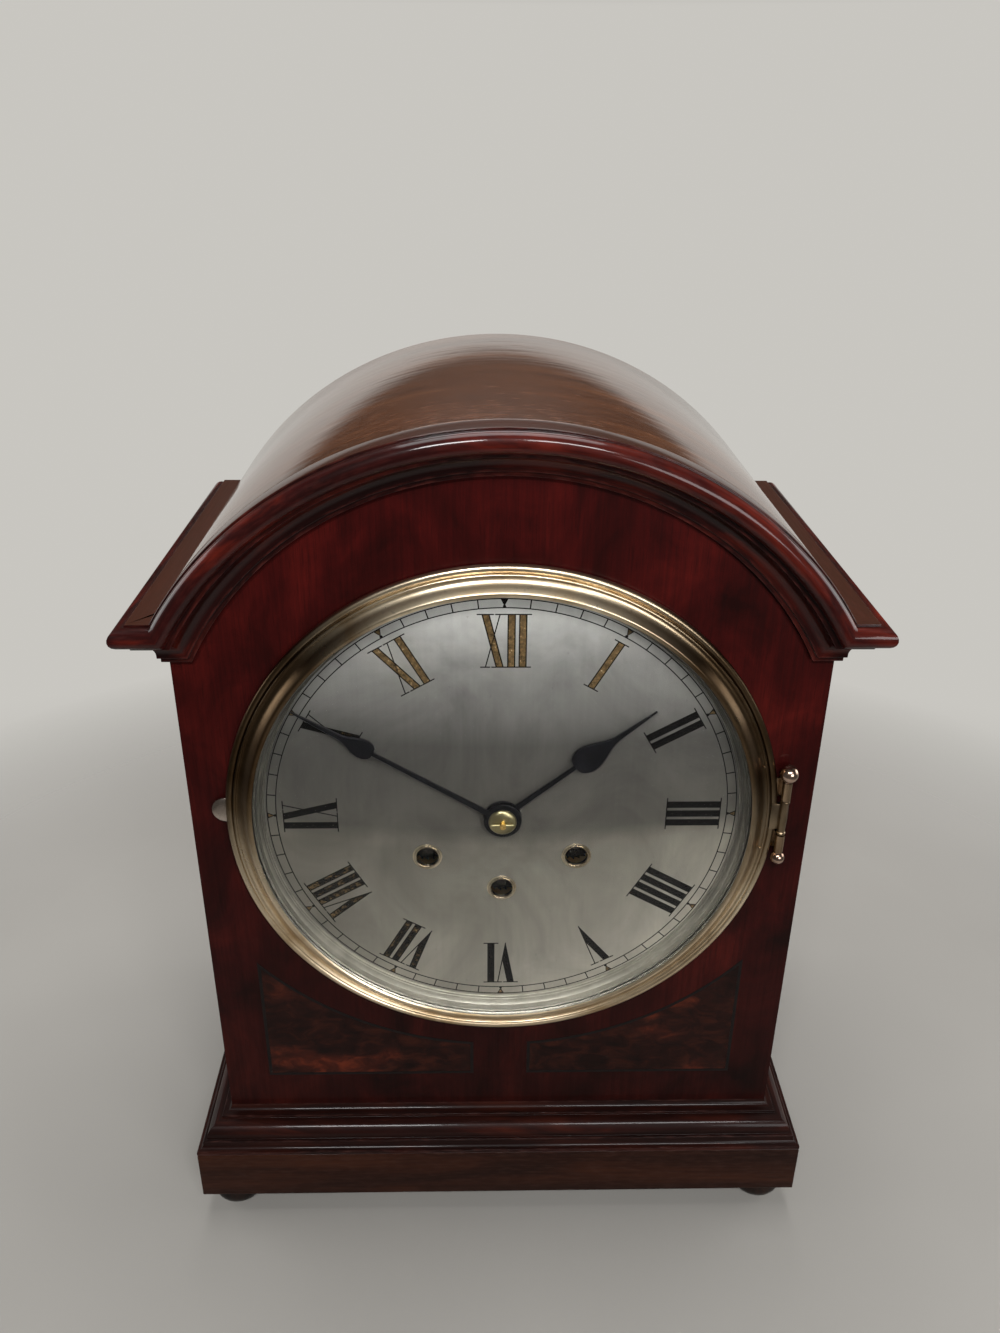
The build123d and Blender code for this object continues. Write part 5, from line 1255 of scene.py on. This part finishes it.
blued = new_finish("blued_steel")
coords = blued.coords()
bloom = blued.cloud(coords, scale=150.0, detail=5.0)
blued.give("Base Color", blued.grade(bloom, (0.3, tone(8, 8, 9)), (0.7, tone(17, 17, 20))))
blued.give("Metallic", 0.3)
blued.give("Specular IOR Level", 0.2)
blued.give("Roughness", blued.spread(bloom, 0.3, 0.7, 0.40, 0.28))
blued.relief(blued.cloud(coords, scale=1400.0), strength=0.05, depth=0.0002)


def hand_stations(length, bulb_at, bulb_width):
    """Half the width of a hand at places along it, from the foot of its hub to its point."""
    bulb = bulb_width / 2
    shoulder_at = bulb_at + bulb_taper * bulb
    start = math.asin(stem_half / hub_radius)
    stations = []
    for step in range(hub_steps + 1):
        angle = math.pi - (math.pi - start) * step / hub_steps
        stations.append((hub_radius * math.sin(angle), hub_radius * math.cos(angle)))
    stations.append((neck_half, bulb_at - bulb))
    for step in range(1, bulb_steps + 1):
        angle = math.pi / 2 * step / bulb_steps
        half = neck_half + (bulb - neck_half) * math.sin(angle) ** bulb_fullness
        stations.append((half, bulb_at - bulb * math.cos(angle)))
    for step in range(1, taper_steps + 1):
        share = step / taper_steps
        swell = share * share * (3 - 2 * share)
        stations.append((bulb + (shoulder_half - bulb) * swell, bulb_at + (shoulder_at - bulb_at) * share))
    return stations + [(point_half, length - point_half), (0, length)]


def make_hand(name, node, body, length, bulb_at, bulb_width, angle):
    """A hand, cut from the sheet, bevelled along its front edges and turned to its time."""
    low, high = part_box(node)
    across, along = math.cos(math.radians(angle)), math.sin(math.radians(angle))
    bm = bmesh.new()
    rows = []
    for half, at in hand_stations(length, bulb_at, bulb_width):
        cut = min(hand_bevel, widest_bevel * half)
        left = [(-half, high.y), (-half, low.y + cut), (cut - half, low.y)]
        section = left + [(-u, y) for u, y in reversed(left)]
        row = []
        for u, y in section:
            row.append(bm.verts.new((u * across + at * along, y, dial_z - u * along + at * across)))
        rows.append(row)
    skin(bm, rows)
    fit(name, bm, blued, body, "blued_steel", node, crease=25)


hour_cut = {"length": 0.082, "bulb_at": 0.046, "bulb_width": 0.0125}
minute_cut = {"length": 0.102, "bulb_at": 0.0685, "bulb_width": 0.009}
make_hand("pear_hour_hand", "hour_hand", "hour_set", angle=50.7, **hour_cut)
make_hand("pear_minute_hand", "minute_hand", "minute_set", angle=-58.3, **minute_cut)

collet_low, collet_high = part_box("hand_collet")
collet_radius = collet_high.x
collet_bore = 0.00135
collet_edge = 0.0004
collet_flat = 0.3
collet_steps = 14
collet_height = collet_high.y - collet_low.y
collet_outline = [(collet_bore, 0), (collet_radius - collet_edge / 2, 0), (collet_radius, collet_edge / 2)]
for step in range(collet_steps + 1):
    angle = math.pi / 2 * step / collet_steps
    out = collet_radius * (collet_flat + (1 - collet_flat) * math.cos(angle))
    collet_outline.append((out, collet_edge + (collet_height - collet_edge) * math.sin(angle)))
collet_outline.append((collet_bore, collet_height))
collet = bmesh.new()
turn(collet, collet_outline, (0, collet_high.y, dial_z), forward=True, steps=64, ring=True)
collet_brass = brass("collet_brass", tone(150, 141, 106), tone(96, 89, 60), rough=0.28)
fit("domed_collet", collet, collet_brass, "minute_set", "polished_brass", "hand_collet")
dress(collet_brass, "hand_pin")

# Bezel: a cast brass ring, turned and polished, with bead, quirk, ridge, hollow, swell and sight edge.
# Its knuckle is held at the right by two rivets and turns on the hinge pin; a tab at the left opens it.
bezel_low, bezel_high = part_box("bezel_ring")
bezel_radius = -bezel_low.x
pin_low, pin_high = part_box("bezel_hinge_pin")
tab_low, tab_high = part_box("bezel_tab")
glass_low, glass_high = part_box("bezel_glass")
hinge_x = (pin_low.x + pin_high.x) / 2
hinge_y = (pin_low.y + pin_high.y) / 2
hinge_lift = 0.0027
hinge_z = dial_z + hinge_lift
bezel_back = board_y - bezel_high.y
bezel_edge = 0.0002
rim_bead, rim_bead_rise = 0.0016, 0.0012
quirk = ((0.0031, 0.0019), (0.0033, 0.0022))
ridge, ridge_in, ridge_rise = 0.0007, 0.0040, 0.0026
ridge_foot = (0.0049, 0.0028)
crest = 0.0080
sight_radius, sight_front = 0.1062, 0.0073
dial_reflection_within = 0.1070
lip_back = 0.0066
glass_gap = 0.0002
glass_pocket = glass_high.x + glass_gap
knuckle_radius, knuckle_half, knuckle_bore = 0.0021, 0.0085, 0.00115
web_root, web_set_back, web_half, web_end, web_edge = 0.0030, 0.0012, 0.0010, 0.0020, 0.0003
rivet_ring, rivet_radius, rivet_height, rivet_sink, rivet_rise = 0.1131, 0.0006, 0.0004, 0.0006, 0.0031
rivet_angles = (75.8, 96.9)

bezel_brass = brass(
    "bezel_brass",
    tone(240, 222, 192),
    tone(176, 150, 114),
    rough=0.25,
    scale=60.0,
    lathe_lines=True,
    # Painted reflection: inside this radius and behind the sight edge the brass is painted silver.
    painted_dial_reflection=(dial_reflection_within, board_y - sight_front),
    # Painted shade: the bezel's sides are darkened.
    painted_flank=((0.14, 0.11, 0.085, 1), 0.055),
)
bezel_outline = [
    (glass_pocket, bezel_back),
    (bezel_radius - bezel_edge, bezel_back),
    (bezel_radius, bezel_back + bezel_edge),
    *arc((bezel_radius - rim_bead, bezel_back + rim_bead_rise), rim_bead, 0, 150, 14),
    *[(bezel_radius - inwards, bezel_back + rise) for inwards, rise in quirk],
    *arc((bezel_radius - ridge_in, bezel_back + ridge_rise), ridge, 20, 160, 7),
    (bezel_radius - ridge_foot[0], bezel_back + ridge_foot[1]),
]
hollow_start = Vector((bezel_radius - 0.0050, bezel_back + 0.0027))
hollow_bend = Vector((0.1119, bezel_back + 0.0028))
swell_start = Vector((0.1107, 0.0053))
swell_bend = Vector((0.1092, crest - 0.0009))
swell_end = Vector((0.1081, crest - 0.00005))
curve_steps = 10
for start, middle, end in ((hollow_start, hollow_bend, swell_start), (swell_start, swell_bend, swell_end)):
    bezel_outline += [tuple(bent(start, middle, end, step / curve_steps)) for step in range(curve_steps)]
bezel_outline += [tuple(swell_end), (0.1077, crest), (0.1071, crest - 0.0001), (0.1066, crest - 0.0004)]
bezel_outline += [(sight_radius, sight_front), (sight_radius, lip_back), (glass_pocket, lip_back)]
bezel = bmesh.new()
turn(bezel, bezel_outline, (0, board_y, dial_z), forward=True, steps=288, ring=True)
knuckle_outline = [
    (knuckle_bore, -knuckle_half),
    (knuckle_radius * 0.86, -knuckle_half),
    (knuckle_radius * 0.95, -knuckle_half + 0.0004),
    (knuckle_radius * 0.95, -knuckle_half + 0.0010),
    (knuckle_radius * 0.78, -knuckle_half + 0.0014),
    (knuckle_radius * 0.92, 0.0),
    (knuckle_radius * 0.88, knuckle_half - 0.0014),
    (knuckle_radius, knuckle_half - 0.0010),
    (knuckle_radius, knuckle_half - 0.0003),
    (knuckle_radius * 0.9, knuckle_half),
    (knuckle_bore, knuckle_half),
]
turn(bezel, knuckle_outline, (hinge_x, hinge_y, hinge_z), steps=40, ring=True)
web_width = hinge_x - knuckle_bore - bezel_radius + web_root
web_size = Matrix.Diagonal((web_width, 2 * web_half, 2 * (knuckle_half - web_end), 1))
web_place = Matrix.Translation((bezel_radius - web_root + web_width / 2, hinge_y + web_set_back, hinge_z))
web = bmesh.ops.create_cube(bezel, size=1.0, matrix=web_place @ web_size)
web_edges = {edge for corner in web["verts"] for edge in corner.link_edges}
bmesh.ops.bevel(bezel, geom=list(web_edges), offset=web_edge, segments=2, profile=0.5, affect="EDGES")
rivet_outline = [(rivet_radius, -rivet_sink)]
rivet_outline += [(rivet_radius * out, rivet_height * rise) for out, rise in arc((0, 0), 1, 0, 90, 6)]
rivet_outline += [(0, -rivet_sink)]
for angle in rivet_angles:
    across, along = math.sin(math.radians(angle)), math.cos(math.radians(angle))
    rivet_place = (rivet_ring * across, board_y - bezel_back - rivet_rise, dial_z + rivet_ring * along)
    turn(bezel, rivet_outline, rivet_place, forward=True, steps=24, ring=True)
fit("turned_bezel", bezel, bezel_brass, "bezel", "polished_brass", "bezel_ring", crease=40)
dress(brass("pin_brass", tone(206, 180, 162), tone(140, 112, 94), rough=0.16), "bezel_hinge_pin")

tab_radius = (tab_high.z - tab_low.z) / 2
tab_height = tab_high.y - tab_low.y
tab_curve = ((0, 0), (0.95, 0), (1.0, 0.2), (0.97, 0.55), (0.86, 0.82), (0.6, 0.95), (0.3, 1.0), (0, 1.0))
tab_outline = [(tab_radius * out, tab_height * rise) for out, rise in tab_curve]
tab_place = (tab_low.x + tab_radius, tab_high.y, (tab_low.z + tab_high.z) / 2)
tab = bmesh.new()
turn(tab, tab_outline, tab_place, forward=True, steps=48)
tab_brass = brass("tab_brass", tone(200, 188, 178), tone(140, 122, 108), rough=0.20)
fit("finger_tab", tab, tab_brass, "bezel", "polished_brass", "bezel_tab")

# Glass: a convex clear glass, bent in a mould and ground round its rim.
# It is held in the pocket behind the lip of the bezel.
glass_radius = glass_high.x
glass_thickness = 0.0018
glass_rings = 48
rim_back = board_y - glass_high.y
sagitta = glass_high.y - glass_low.y - glass_thickness
glass_curve = (glass_radius**2 + sagitta**2) / (2 * sagitta)

glass = new_finish("convex_glass")
breath = glass.cloud(glass.coords(), scale=30.0, detail=3.0)
glass.give("Roughness", glass.spread(breath, 0.3, 0.7, 0.0, 0.012))
glass.give("Base Color", grey(1.0))
glass.give("IOR", 1.2)
glass.give("Transmission Weight", 1.0)
glass.clear(glass.add("ShaderNodeLightPath").outputs["Is Shadow Ray"])
inside = []
for step in range(glass_rings + 1):
    out = glass_radius * step / glass_rings
    inside.append((out, rim_back + sagitta - glass_curve + math.sqrt(glass_curve**2 - out**2)))
outside = [(out, forward + glass_thickness) for out, forward in reversed(inside)]
glass_shell = bmesh.new()
turn(glass_shell, inside + outside, (0, board_y, dial_z), forward=True, steps=192)
fit("convex_glass", glass_shell, glass, "bezel", "convex_glass", "bezel_glass", crease=40)

low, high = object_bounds()
